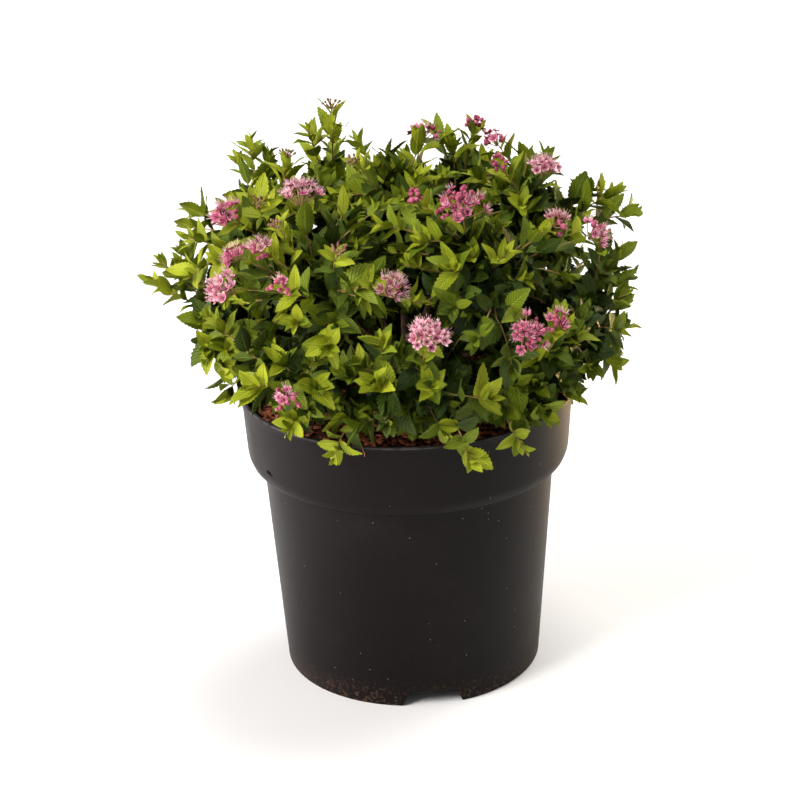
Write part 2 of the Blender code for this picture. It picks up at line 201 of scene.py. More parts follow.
def repeated(faces, count, pointsEach):
    # The same faces for every copy of a shape, each copy's points following the last's
    return (faces[None] + np.arange(count)[:, None, None] * pointsEach).reshape(-1, faces.shape[1])


def addPiece(name, shape, finish, slot, nodes, uv=None, tint=None, sharp=None):
    # Puts arrays into a mesh with the given finish, sets the piece on the root body and hides the nodes that
    # it replaces. The slot is not used
    points, faceSets = shape
    mesh = bpy.data.meshes.new(name)
    mesh.vertices.add(len(points))
    mesh.vertices.foreach_set("co", points.astype(np.float32).ravel())
    corners = np.concatenate([faces.ravel() for faces in faceSets]).astype(np.int32)
    sides = np.concatenate([np.full(len(faces), faces.shape[1]) for faces in faceSets])
    mesh.loops.add(len(corners))
    mesh.loops.foreach_set("vertex_index", corners)
    mesh.polygons.add(len(sides))
    mesh.polygons.foreach_set("loop_start", (np.cumsum(sides) - sides).astype(np.int32))
    if uv is not None:
        mesh.uv_layers.new(name="UVMap").data.foreach_set("uv", uv[corners].astype(np.float32).ravel())
    if tint is not None:
        mesh.attributes.new("tint", "FLOAT", "POINT").data.foreach_set("value", tint.astype(np.float32))
    mesh.update(calc_edges=True)
    mesh.validate()
    mesh.shade_smooth()
    if sharp:
        mesh.set_sharp_from_angle(angle=math.radians(sharp))
    mesh.materials.append(finish.material)
    piece = newObject(name, mesh)
    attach(piece, "root")
    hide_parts(*nodes)


def newObject(name, data):
    made = bpy.data.objects.new(name, data)
    bpy.context.collection.objects.link(made)
    return made


def addFoliage(name, shape, finish, **extras):
    addPiece(name, shape, finish, "foliage", foliageNodes, **extras)


def addSheets(name, sheets, finish, tint):
    # One piece of many equal grids, each with u across and v along from 0 to 1, and a tint of its own
    count, rows, columns = sheets.shape[:3]
    faces = repeated(gridFaces(rows, columns)[:, ::-1], count, rows * columns)
    v, u = np.meshgrid(np.linspace(0, 1, rows), np.linspace(0, 1, columns), indexing="ij")
    uv = np.tile(np.stack([u.ravel(), v.ravel()], -1), (count, 1))
    addFoliage(name, (sheets.reshape(-1, 3), [faces]), finish, uv=uv, tint=np.repeat(tint, rows * columns))


def curveAt(ends, share):
    # Point at a share of the curve of three control points, for arrays of curves and shares
    a, b, c = ends[..., 0, :], ends[..., 1, :], ends[..., 2, :]
    t = share[..., None]
    return a * (1 - t) ** 2 + b * 2 * t * (1 - t) + c * t**2


def curveWay(ends, share):
    # Direction of the same curve, from its derivative
    a, b, c = ends[..., 0, :], ends[..., 1, :], ends[..., 2, :]
    t = share[..., None]
    return unit((b - a) * (1 - t) + (c - b) * t)


def sideOf(ways):
    # A unit vector square to each way
    upright = np.abs(ways[..., 2:3]) > 0.85
    return unit(np.cross(ways, np.where(upright, (1.0, 0.0, 0.0), (0.0, 0.0, 1.0))))


def turned(first, second, angle):
    # The first vector turned by the angle towards the second
    return first * np.cos(angle)[..., None] + second * np.sin(angle)[..., None]


def around(ways, angles):
    # Vectors square to each way, at the angles about it
    first = sideOf(ways)[:, None]
    return turned(first, np.cross(ways[:, None], first), angles)


def tubes(paths, radii, sides, relief=None):
    # A circle of each radius carried along each path; the two ends are closed by a point on the path.
    # relief is a factor for each path, step and side, which gives bark its ridges
    ways = unit(np.gradient(paths, axis=1))
    first = sideOf(ways[:, :1])
    first = unit(first - ways * dots(first, ways))
    second = np.cross(ways, first)
    rings = turned(first[:, :, None], second[:, :, None], circle(sides))
    reach = radii[:, :, None] if relief is None else radii[:, :, None] * relief
    points = paths[:, :, None] + rings * reach[..., None]
    count, steps = paths.shape[:2]
    points = np.concatenate([points.reshape(count, -1, 3), paths[:, :1], paths[:, -1:]], axis=1)
    faceSets = [repeated(faces, count, points.shape[1]) for faces in closedFaces(steps, sides)]
    return points.reshape(-1, 3), faceSets


def curveTubes(ends, steps, radius, sides):
    # Tubes of one radius along curves of three control points
    share = np.broadcast_to(np.linspace(0, 1, steps), (len(ends), steps))
    return tubes(curveAt(ends[:, None], share), np.full(share.shape, radius), sides)


def balls(centres, ways, radii, sides, rings, stretch=1.0):
    # Small closed globes: circles of latitude about each way, stretched along it
    lift = (np.arange(rings) + 1) / (rings + 1) * math.pi - math.pi / 2
    girth = around(ways, circle(sides))[:, None]
    body = girth * np.cos(lift)[:, None, None] + ways[:, None, None] * (np.sin(lift) * stretch)[:, None, None]
    poles = np.stack([-ways * stretch, ways * stretch], axis=1)
    every = np.concatenate([body.reshape(len(centres), -1, 3), poles], axis=1)
    points = centres[:, None] + every * radii[:, None, None]
    faceSets = [repeated(faces, len(centres), every.shape[1]) for faces in closedFaces(rings, sides)]
    return points.reshape(-1, 3), faceSets


def ripple(seed, *coordinates, waves, finest):
    # Soft unevenness between about -1 and 1: a sum of sines with seeded directions, sizes and phases
    chance = np.random.default_rng(seed)
    total = 0
    for k in range(waves):
        size = 1 + (finest - 1) * k / (waves - 1)
        lean = chance.normal(size=len(coordinates))
        lean = lean / np.linalg.norm(lean) * size
        phase = chance.uniform(0, 2 * math.pi)
        total = total + np.sin(sum(c * s for c, s in zip(coordinates, lean)) + phase) / size**0.6
    return total / waves**0.5


def roundedProfile(corners, steps=5):
    # A chain of (radius, height, rounding): each corner becomes a small arc that leaves it on both sides
    points = []
    spots = np.array([corner[:2] for corner in corners], float)
    for k, (r, z, rounding) in enumerate(corners):
        if k in (0, len(corners) - 1) or rounding == 0:
            points.append((r, z))
            continue
        start = spots[k] + unit(spots[k - 1] - spots[k]) * rounding
        stop = spots[k] + unit(spots[k + 1] - spots[k]) * rounding
        ends = np.repeat(np.array([[start, spots[k], stop]]), steps, axis=0)
        points += curveAt(ends, np.linspace(0, 1, steps)).tolist()
    return np.array(points)


def resampled(profile, longest):
    # Splits the profile's long stretches, so that no step is longer than that
    made = [profile[:1]]
    for a, b in zip(profile, profile[1:]):
        steps = max(1, math.ceil(np.linalg.norm(b - a) / longest))
        made.append(a + (b - a) * (np.arange(steps)[:, None] + 1) / steps)
    return np.concatenate(made)


# Camera
view = {
    "place": (0, -1.63366, 0.87379),
    "lens": 117,
    "nearest": 0.05,
    "down": 22.759,
    "right": -0.170,
    "roll": -1.632,
}


def addCamera():
    # Looks along a bearing and a slope, then turns about that line by the roll
    slope, bearing, roll = (math.radians(view[key]) for key in ("down", "right", "roll"))
    level = math.cos(slope)
    ahead = np.array([math.sin(bearing) * level, math.cos(bearing) * level, -math.sin(slope)])
    right = unit(np.cross(ahead, (0, 0, 1)))
    up = np.cross(right, ahead)
    rolledRight = right * math.cos(roll) + up * math.sin(roll)
    rolledUp = up * math.cos(roll) - right * math.sin(roll)
    made = newObject("camera", bpy.data.cameras.new("camera"))
    made.data.lens = view["lens"]
    made.data.clip_start = view["nearest"]
    turn = np.column_stack([rolledRight, rolledUp, -ahead])
    made.matrix_world = Matrix.Translation(view["place"]) @ Matrix(turn.tolist()).to_4x4()
    bpy.context.scene.camera = made


# Studio: a white floor, an even pale sky and soft lights
studio = {
    "floorSize": 14.0,
    "floorColour": (0.83, 0.83, 0.83),
    "skyStrength": 0.30,
    "suns": (
        # from, strength, softness in degrees, colour
        ((-0.74, -0.50, 0.70), 3.3, 28, (1.0, 0.985, 0.95)),
        ((0.35, 0.32, 1.20), 3.0, 40, (1.0, 0.99, 0.97)),
    ),
    "panels": (
        # place, size, strength, colour
        ((-1.2, -0.30, 0.27), (0.9, 0.5), 15, (1.0, 0.86, 0.86)),
        ((0.62, 0.50, 0.06), (0.16, 0.10), 5, (1.0, 0.60, 0.22)),
    ),
    "panelAim": (0, 0, 0.12),
}


def aimed(place, target):
    # Turns a light's -Z axis from its place to the target
    back = unit(np.array(place, float) - np.array(target, float))
    side = sideOf(back[None])[0]
    turn = np.column_stack([side, np.cross(back, side), back])
    return Matrix.Translation(place) @ Matrix(turn.tolist()).to_4x4()


def addLight(name, kind, place, target, strength, colour):
    light = bpy.data.lights.new(name, kind)
    light.energy = strength
    light.color = colour
    newObject(name, light).matrix_world = aimed(place, target)
    return light


def addStudio():
    size = studio["floorSize"] / 2
    mesh = bpy.data.meshes.new("floor")
    corners = [(-size, -size, 0), (size, -size, 0), (size, size, 0), (-size, size, 0)]
    mesh.from_pydata(corners, [], [(0, 1, 2, 3)])
    mesh.materials.append(Finish("studioFloor", studio["floorColour"], 0.9).material)
    newObject("floor", mesh)
    sky = bpy.data.worlds.new("sky")
    sky.use_nodes = True
    glow = sky.node_tree.nodes["Background"].inputs
    glow["Color"].default_value = (1, 1, 1, 1)
    glow["Strength"].default_value = studio["skyStrength"]
    bpy.context.scene.world = sky
    for k, (place, strength, softness, colour) in enumerate(studio["suns"]):
        light = addLight(f"sun{k}", "SUN", place, (0, 0, 0), strength, colour)
        light.angle = math.radians(softness)
    for k, (place, spread, strength, colour) in enumerate(studio["panels"]):
        light = addLight(f"panel{k}", "AREA", place, studio["panelAim"], strength, colour)
        light.shape = "RECTANGLE"
        light.size, light.size_y = spread
    bpy.context.scene.view_settings.view_transform = "Standard"


# Pot
potSizes = {
    "height": 0.203,
    "footRadius": 0.0885,
    "bodyTop": (0.0995, 0.150),
    "collarBottom": (0.1096, 0.1577),
    "collarTop": 0.1126,
    "lipRadius": 0.115,
    "lipHeight": 0.0032,
    "lipWidth": 0.0030,
    "collarStep": 0.0022,
    "wall": 0.0018,
    "floorTop": 0.0120,
    "notchBearing": -82,
    "notchHeight": 0.010,
    "notchHalfWidths": (0.0205, 0.0165),
    "notchBlend": 0.030,
    "sectorColumns": (0, 28, 31, 47, 50, 78),
    "channelEnd": 0.030,
    "drainRadius": 0.005,
    "drainDistance": 0.060,
    "drainTop": 0.0117,
    # Rings of the underside, closest at the drain holes
    "underRadii": (
        0.006, 0.014, 0.022, 0.0296, 0.0304, 0.036, 0.042, 0.048, 0.0535, 0.055,
        0.0565, 0.0585, 0.060, 0.0615, 0.0635, 0.065, 0.0665, 0.072, 0.079, 0.0855,
    ),
    "longestStep": 0.0045,
}


def potProfile():
    # Underside, outside, lip and inside as one chain of corners with their roundings
    s = potSizes
    topR, topZ = s["bodyTop"]
    lowR, lowZ = s["collarBottom"]
    rim, lip, wall = s["height"], s["height"] - s["lipHeight"], s["wall"]
    corners = [
        (0, 0, 0),
        (s["footRadius"] - 0.0003, 0, 0.0014),
        (topR, topZ, 0.0009),
        (lowR - s["collarStep"], topZ + s["collarStep"], 0.0010),
        (lowR, lowZ, 0.0026),
        (s["collarTop"], lip, 0.0005),
        (s["lipRadius"], lip + 0.0004, 0.0007),
        (s["lipRadius"], rim, 0.0011),
        (s["lipRadius"] - s["lipWidth"], rim, 0.0011),
        (s["collarTop"] - wall, lip - 0.001, 0.001),
        (lowR - wall, lowZ + 0.0015, 0.002),
        (topR + 0.003, topZ + wall + 0.0006, 0.001),
        (topR - wall, topZ + wall, 0.001),
        (s["footRadius"] - wall, s["floorTop"], 0.001),
        (0, s["floorTop"], 0),
    ]
    return resampled(roundedProfile(corners), s["longestStep"])


def sectorBearings(radius):
    # Bearings across one notch's third of the turn: columns crowd at the notch's slanting sides,
    # and slide apart towards the middle so that the channel's sides stay parallel
    knots = potSizes["sectorColumns"]
    wide, narrow = (math.asin(min(0.995, half / radius)) for half in potSizes["notchHalfWidths"])
    third = math.pi / 3
    return np.interp(np.arange(knots[-1]), knots, (-third, -wide, -narrow, narrow, wide, third))


def makePot():
    # Rings of the profile's radii. Under the foot they rise by the notch height where a channel runs, and
    # to the drain top in a drain hole. On the wall the rise fades out evenly, up to the height notchBlend
    s = potSizes
    knots = s["sectorColumns"]
    profile = potProfile()
    first = int(np.argmax(profile[:, 0] >= s["footRadius"] - 0.002))
    outerCount = int(np.argmax(profile[:, 0]))
    raised = np.tile(np.interp(np.arange(knots[-1]), knots, (0, 0, 1, 1, 0, 0)), 3)
    thirds = [math.radians(s["notchBearing"]) + 2 * math.pi * k / 3 for k in range(3)]
    under = np.array([(radius, 0) for radius in s["underRadii"]])
    rows = np.concatenate([under, profile[first:-1]])
    radii, heights = rows[:, 0:1], rows[:, 1:2]
    limited = rows[:, 0].clip(s["channelEnd"], s["footRadius"])
    bearings = np.stack([np.concatenate([sectorBearings(r) + third for third in thirds]) for r in limited])
    notch = raised[None] * s["notchHeight"] * (radii > s["channelEnd"])
    band = s["notchBlend"]
    lifted = np.where(heights < band, notch + heights * (band - notch) / band, heights)
    isInside = (np.arange(len(rows)) > len(under) + outerCount - first + 8)[:, None]
    isUnder = (np.arange(len(rows)) < len(under))[:, None]
    z = np.where(isInside, heights, lifted)
    x, y = radii * np.cos(bearings), radii * np.sin(bearings)
    for third in thirds:
        away = np.hypot(x - s["drainDistance"] * math.cos(third), y - s["drainDistance"] * math.sin(third))
        z = np.where((away < s["drainRadius"]) & isUnder, s["drainTop"], z)
    addPiece("nurseryPot", closedGrid(x, y, z, 0, s["floorTop"]), potPlastic(), "pot", ["pot"], sharp=38)


def potPlastic():
    # Matt black moulded plastic: fine grain, grey dust, pale specks, soil at the foot, and a pale band round
    # the rim that is a painted highlight
    f = Finish("potPlastic", (0.005, 0.004, 0.004), 0.45, Specular_IOR_Level=0.085)
    place = f.place()
    height = f.axis(place, "Z")
    cloud = f.noise(place, 14, 4)
    fine = f.noise(place, 900, 2)
    dust = (cloud * 0.7 + fine * 0.3).between(0.47, 0.72)
    speckSize = f.cells(place, 170)
    speckPick = f.axis(f.cells(place, 170, "Color"), "X")
    specks = (speckSize < 0.065) * (speckPick > 0.72)
    foot = (1 - height.between(0.0, 0.022)) * f.noise(place, 420, 3).between(0.52, 0.66)
    colour = f.mix(dust * 0.45, (0.0050, 0.0036, 0.0033), (0.0125, 0.0100, 0.0096))
    colour = f.mix(foot * 0.75, colour, (0.085, 0.045, 0.026))
    colour = f.mix(specks * 0.5, colour, (0.30, 0.27, 0.25))
    # Pale band round the top of the rim, broken up by noise: a painted highlight along the lip
    rim = height.between(0.2012, 0.2027) * f.noise(place, 90, 3).between(0.30, 0.62)
    f.feed("Base Color", f.mix(rim * 0.75, colour, (0.085, 0.078, 0.078)))
    f.feed("Roughness", dust * 0.12 + 0.42 + foot * 0.2)
    f.bump(fine * 0.35 + f.noise(place, 2600, 1) * 0.25 + cloud * 0.2, 0.35, 0.0006)
    return f


# Small dark scuffs on the pot: bearing, height, distance from the axis and radius
scuffs = (
    (-117.2, 0.1958, 0.1123, 0.0010), (-116.7, 0.1945, 0.1122, 0.0014), (-116.2, 0.1930, 0.1121, 0.0011),
    (-148.5, 0.1632, 0.1103, 0.0012), (-147.2, 0.1628, 0.1101, 0.0014), (-145.9, 0.1623, 0.1099, 0.0010),
    (-133.0, 0.1492, 0.0994, 0.0010), (-131.0, 0.1494, 0.0994, 0.0012), (-129.2, 0.1496, 0.0994, 0.0010),
    (-166.0, 0.1214, 0.0973, 0.0010), (-97.5, 0.1490, 0.0994, 0.0011), (-98.1, 0.1803, 0.1111, 0.0007),
)


def makeScuffs():
    # Flat globes on the wall, each turned outwards
    ways = np.array([direction(bearing, 0) for bearing, _, _, _ in scuffs])
    centres = np.array([way * away + (0, 0, height) for way, (_, height, away, _) in zip(ways, scuffs)])
    radii = np.array([scuff[3] for scuff in scuffs])
    tones = (0.0014, 0.0011, 0.0010), (0.0028, 0.0022, 0.0020)
    finish = mottled("scuff", *tones, 700, 0.8, Specular_IOR_Level=0.03)
    addPiece("potScuffs", balls(centres, ways, radii, 12, 5, 0.12), finish, "pot", ["pot"])


# Soil
soilSizes = {
    "height": 0.190,
    "bottom": 0.0123,
    "unevenness": 0.0014,
    "sink": 0.002,
    "seatRadius": 0.021,
    "edge": 0.1085,
    "grid": (60, 150),
    "sideRadii": (0.1081, 0.0960, 0.0850),
    "sideHeights": (0.160, 0.148, 0.0123),
    "chips": 1300,
    "chipLength": (0.0025, 0.0095),
    "chipWidth": (0.0012, 0.0034),
    "chipThickness": (0.0006, 0.0015),
    "fibres": 130,
    "fibreLength": (0.006, 0.020),
    "fibreRadius": 0.00028,
    "hangingBearing": -104.6,
    # Distance from the axis and height of the fibre that hangs over the rim
    "hanging": (
        (0.1060, 0.1950), (0.1085, 0.1995), (0.1120, 0.2033), (0.1138, 0.2035),
        (0.1153, 0.2030), (0.1155, 0.2005), (0.1140, 0.1985), (0.1128, 0.1955),
    ),
}


def soilTop(x, y):
    # Height of the soil: level under the stem, rippled around it, and a little lower at the pot's wall
    s = soilSizes
    distance = np.hypot(x, y)
    waves = ripple(21, x * 60, y * 60, waves=9, finest=9.0)
    beyondSeat = np.clip((distance - s["seatRadius"]) / 0.01, 0, 1)
    sink = s["sink"] * np.clip((distance - 0.095) / 0.013, 0, 1)
    return s["height"] + waves * s["unevenness"] * 0.7 * beyondSeat - sink


def makeSoil():
    # Rings of the rippled top, then three that run down the plug's sides
    s = soilSizes
    rings, columns = s["grid"]
    radii = np.concatenate([np.linspace(0.004, s["edge"], rings), s["sideRadii"]])
    turn = circle(columns)
    x, y = radii[:, None] * np.cos(turn), radii[:, None] * np.sin(turn)
    z = soilTop(x, y)
    z[rings:] = np.array(s["sideHeights"])[:, None]
    points, (quads, caps) = closedGrid(x, y, z, s["height"], s["bottom"])
    faces = [quads[:, ::-1], caps[:, [0, 2, 1]]]
    addPiece("soilBed", (points, faces), soilFinish("soilBed", 1.2), "soil", ["soil"])


def makeChips():
    # Bark chips: boxes with their corners pulled in or out, tilted at random on the soil
    s = soilSizes
    chance = np.random.default_rng(8)
    count = s["chips"]
    distance = np.sqrt(chance.uniform(0.02, 1, count)) * (s["edge"] - 0.004)
    bearing = chance.uniform(0, 2 * math.pi, count)
    x, y = distance * np.cos(bearing), distance * np.sin(bearing)
    length, width, thickness = (
        chance.uniform(*s[key], count) for key in ("chipLength", "chipWidth", "chipThickness")
    )
    middle = np.stack([x, y, soilTop(x, y) + thickness * 0.3 + chance.uniform(0, 0.0012, count)], -1)
    turn = chance.uniform(0, 2 * math.pi, count)
    along = unit(np.stack([np.cos(turn), np.sin(turn), chance.normal(0, 0.22, count)], -1))
    across = unit(np.cross(chance.normal(0, 0.25, (count, 3)) + (0, 0, 1), along))
    up = np.cross(along, across)
    signs = np.array([(i, j, k) for i in (-1, 1) for j in (-1, 1) for k in (-1, 1)])
    sizes = signs[None] * np.stack([length, width, thickness], -1)[:, None] / 2
    sizes = sizes * chance.uniform(0.55, 1.1, sizes.shape)
    corners = middle[:, None] + sizes[..., 0:1] * along[:, None]
    corners = corners + sizes[..., 1:2] * across[:, None] + sizes[..., 2:3] * up[:, None]
    box = np.array([(0, 1, 3, 2), (4, 6, 7, 5), (0, 4, 5, 1), (2, 3, 7, 6), (0, 2, 6, 4), (1, 5, 7, 3)])
    shape = (corners.reshape(-1, 3), [repeated(box, count, 8)])
    tint = np.repeat(chance.uniform(0, 1, count), 8)
    addPiece("barkChips", shape, soilFinish("barkChips", 1.9), "soil", ["soil"], tint=tint, sharp=30)


def makeFibres():
    # Root fibres lying in curves on the soil, and one that hangs over the pot's rim
    s = soilSizes
    chance = np.random.default_rng(9)
    count, steps = s["fibres"], 8
    distance = np.sqrt(chance.uniform(0.05, 1, count)) * (s["edge"] - 0.012)
    bearing = chance.uniform(0, 2 * math.pi, count)
    length = chance.uniform(*s["fibreLength"], count)[:, None]
    share = np.linspace(-0.5, 0.5, steps)[None]
    turn = chance.uniform(0, 2 * math.pi, count)[:, None] + share * chance.normal(0, 2.2, count)[:, None]
    x = (distance * np.cos(bearing))[:, None] + np.cos(turn) * share * length
    y = (distance * np.sin(bearing))[:, None] + np.sin(turn) * share * length
    z = soilTop(x, y) + 0.0014 + 0.0022 * (0.25 - share**2) * chance.uniform(0, 4, count)[:, None]
    paths = np.stack([x, y, z], -1)
    rim = direction(s["hangingBearing"], 0)
    hanging = [
        rim * away + (0.0006 * math.sin(k * 1.3), 0, height) for k, (away, height) in enumerate(s["hanging"])
    ]
    paths = np.concatenate([paths, np.array(hanging)[None]])
    radii = np.full(paths.shape[:2], s["fibreRadius"])
    finish = mottled("rootFibre", (0.22, 0.055, 0.028), (0.38, 0.115, 0.055), 300, 0.8)
    addPiece("rootFibres", tubes(paths, radii, 4), finish, "soil", ["soil"])


def soilFinish(name, brightness):
    # Reddish-brown bark and peat, mottled from dark to pale
    f = Finish(name, (0.1, 0.045, 0.03), 0.95)
    place = f.place()
    share = f.noise(place, 420, 4, 0.6) * 0.6 + f.attribute("tint") * 0.5
    stops = [
        (0.25, (0.030, 0.010, 0.006)),
        (0.5, (0.22 * brightness, 0.058 * brightness, 0.024 * brightness)),
        (0.85, (0.50 * brightness, 0.180 * brightness, 0.090 * brightness)),
    ]
    f.feed("Base Color", f.ramp(share, stops))
    f.bump(f.noise(place, 1300, 4, 0.7), 0.9, 0.0008)
    return f


# Crown: the source's rule, written again
crown = {
    "heart": (0, 0, 0.215),
    "radius": 0.168,
    "halfHeight": 0.098,
    "middle": 0.277,
    "roundness": 2.5,
    "rings": ((8, 0, 13, 4), (6, 0, 45, 42), (1, 0, 88, 90)),
    "bearingJitter": 5,
    "liftJitter": 4,
    "headRadius": 0.0125,
    "headHeight": 0.2063,
    "gap": 0.0003,
    "boughReach": 0.38,
    "boughStartRun": 0.018,
    "boughEndRun": 0.022,
    "leaderRun": 0.030,
    "mainShoots": 120,
    "plainReach": (0.86, 0.97),
    "tipRoom": 0.012,
    "tipTries": 30,
    "ownRoom": 0.004,
    "turnBack": 0.06,
    "tipOverRim": 0.0012,
    "tipUnderRim": 0.018,
    "leaderShares": (0.10, 0.52),
    "shootLean": 0.22,
    "fineLean": 0.42,
    "fineClear": 0.004,
    "fineUnderRim": 0.008,
    "fineRounds": (
        # how many, seed, reach beside the envelope's, share of the parent's run where they leave it
        (230, 17, (0.76, 0.93), (0.22, 0.55)),
        (230, 19, (0.46, 0.76), (0.03, 0.30)),
    ),
    "rimShoots": 27,
    "rimLift": (-3, 8),
    "rimReach": (0.76, 0.96),
    "rimLeaving": (0.02, 0.2),
    # Height of their tips over the rim's, inside and outside the pot, and distance and height of their crests
    "rimTips": ((0.004, 0.012), (-0.006, 0.010)),
    "rimCrest": (0.092, 0.030),
    "rimGaps": ((-168, -130), (-110, -84), (-40, 4)),
}
# Flower heads: bearing and height angle from the heart in degrees, radius in millimetres, share of open
# flowers, colour and reach beside the envelope's
blossomHeads = (
    (66, 76, 11, 0.9, "pale", 0.95), (28, 64, 9, 0.8, "pink", 0.95), (-8, 56, 11, 0.9, "pale", 0.95),
    (-137, 58, 15, 0.95, "pale", 0.95), (-156, 46, 11, 0.9, "deep", 0.95), (-67, 56, 18, 0.5, "deep", 0.95),
    (-29, 39, 11, 0.9, "pink", 0.95), (-39, 45, 9, 0.8, "dull", 0.95), (-139, 39, 9.5, 0.85, "deep", 0.95),
    (-132, 42, 9, 0.9, "dull", 0.95), (-138, 32, 14, 0.95, "pale", 0.95), (-121, 35, 8, 0.4, "pink", 0.95),
    # The deep tone of the low heads at bearings -61 and -53 is partly painted shade of the plant's lower
    # right side
    (-93, 37, 11, 0.9, "dull", 0.95), (-85, 27, 14, 0.95, "pale", 0.95), (-61, 25, 14, 0.75, "deep", 0.95),
    (-53, 26, 9, 0.4, "deep", 0.95), (-119, 12, 9, 0.5, "pink", 0.95),
    # Closed clusters
    (121, 61, 6, 0, "brown", 1.06), (172, 63, 5, 0, "brown", 0.96), (-132, 48, 5, 0, "brown", 0.96),
    (-108, 44, 6, 0, "brown", 0.97), (-149, 52, 4, 0, "brown", 0.95), (-143, 76, 5, 0, "brown", 0.96),
    (56, 58, 5, 0, "pink", 0.97), (-22, 65, 5, 0, "pink", 0.95), (-84, 61, 4, 0, "pink", 0.95),
    # On the hidden sides
    (142, 25, 13, 0.8, "pink", 0.95), (119, 21, 14, 0.95, "pale", 0.95), (99, 28, 12, 0.7, "deep", 0.95),
    (82, 14, 11, 0.9, "pink", 0.95), (73, 29, 13, 0.6, "deep", 0.95), (46, 24, 14, 0.9, "pale", 0.95),
    (58, 12, 5, 0, "brown", 0.95), (108, 6, 5, 0, "brown", 0.95), (130, 36, 5, 0, "brown", 0.95),
)
# Furthest shoot tips of the outline: bearing, height angle, reach beside the envelope's
outlineTips = (
    (129, 65, 1.05), (138, 61, 1.05), (119, 66, 0.98), (153, 52, 1.07), (156, 48, 1.04), (151, 53, 1.0),
    (67, 68, 1.01), (56, 66, 0.96), (99, 69, 0.91), (30, 53, 0.96), (26, 49, 0.98),
    (17, 38, 0.98), (15, 35, 1.01), (13, 29, 1.04), (10, 24, 0.96), (7, 19, 0.98), (5, 13, 0.96),
    (3, 7, 1.02), (1, 2, 1.02), (-1, -2, 1.10), (165, 34, 1.0), (167, 31, 0.99), (169, 27, 0.98),
    (171, 24, 0.97), (172, 23, 1.05), (173, 18, 1.10), (179, 2, 0.60), (-175, -10, 1.14), (-34, 1, 0.98),
)
# Where the outline falls back: bearing, height angle and width in degrees, and the share of the reach left
hollows = (
    (178, 6, 14, 0.70), (-174, -2, 13, 0.76), (90, 62, 13, 0.90), (-97, -9, 12, 0.80), (-145, -9, 13, 0.85),
    (24, 45, 7, 0.86), (10, 25, 6, 0.90), (160, 42, 6, 0.90), (18, 39, 5, 0.82),
)
heart = np.array(crown["heart"])
goldenAngle = math.radians(137.5)


def direction(bearing, lift):
    # Unit vector at a bearing and a height angle in degrees
    a, b = math.radians(bearing), math.radians(lift)
    return np.array([math.cos(a) * math.cos(b), math.sin(a) * math.cos(b), math.sin(b)])


def envelopeReach(ways):
    # Distance from the heart to the rounded drum (radius/a)^n + (height/b)^n = 1, found by halving
    near, far = np.zeros(ways.shape[:-1]), np.full(ways.shape[:-1], 0.3)
    for _ in range(26):
        middle = (near + far) / 2
        spot = heart + ways * middle[..., None]
        across = np.hypot(spot[..., 0], spot[..., 1]) / crown["radius"]
        along = np.abs(spot[..., 2] - crown["middle"]) / crown["halfHeight"]
        inside = across ** crown["roundness"] + along ** crown["roundness"] < 1
        near, far = np.where(inside, middle, near), np.where(inside, far, middle)
    return near


def hollowed(way):
    # Share of the reach left in a direction: each hollow is a bell curve about its middle
    left = 1.0
    for bearing, lift, width, share in hollows:
        away = math.degrees(math.acos(min(1.0, float(way @ direction(bearing, lift)))))
        left -= (1 - share) * math.exp(-(away / width) ** 2)
    return left


def massDirections():
    # Direction of each foliage mass, and of its bough where it leaves the stem
    uneven = random.Random(3)
    ways, starts = [], []
    for count, first, lift, startLift in crown["rings"]:
        for k in range(count):
            jitter = uneven.uniform(-crown["bearingJitter"], crown["bearingJitter"])
            bearing = first + 360 * k / count + jitter
            ways.append(direction(bearing, lift + uneven.uniform(-crown["liftJitter"], crown["liftJitter"])))
            starts.append(direction(bearing, startLift))
    return np.array(ways), np.array(starts)


massWays, boughStarts = massDirections()
massSides = unit(massWays[:, None] - massWays[None] + np.eye(len(massWays))[..., None] * 9)
# Room that the leaves keep from the pot and the soil, and how far below the rim they may hang
clearances = {
    "inside": 0.004,
    "outside": 0.0010,
    "overSoil": 0.003,
    "overRim": 0.0010,
    "underRim": 0.026,
}


def sideRoom(points, mass):
    # How far each point lies inside the mass's own cone, from its nearest side
    others = [k for k in range(len(massWays)) if k != mass]
    return ((points - heart) @ massSides[mass, others].T).min(axis=-1)


def clearsPot(points):
    # True above the soil, outside a band round the pot's rim, and not far down the pot's outside
    distance = np.hypot(points[..., 0], points[..., 1])
    z = points[..., 2]
    c = clearances
    isInside = distance <= potSizes["collarTop"] - c["inside"]
    overRim = np.where(distance < potSizes["lipRadius"] + c["outside"], c["overRim"], -c["underRim"])
    return z > np.where(isInside, soilSizes["height"] + c["overSoil"], potSizes["height"] + overRim)


def spreadTips(tips, count, seed, reach):
    # Adds tips one by one, each the loneliest of some random directions
    chance = random.Random(seed)
    known = [tip[0] for tip in tips]
    while len(tips) < count:
        best = None
        for _ in range(crown["tipTries"]):
            lift = math.degrees(math.asin(chance.uniform(-0.06, 1)))
            way = direction(chance.uniform(0, 360), lift)
            nearest = (np.array(known) @ way).max()
            if best is None or nearest < best[0]:
                best = (nearest, way)
        known.append(best[1])
        tips.append((best[1], chance.uniform(*reach), 0, None, False))
    return tips


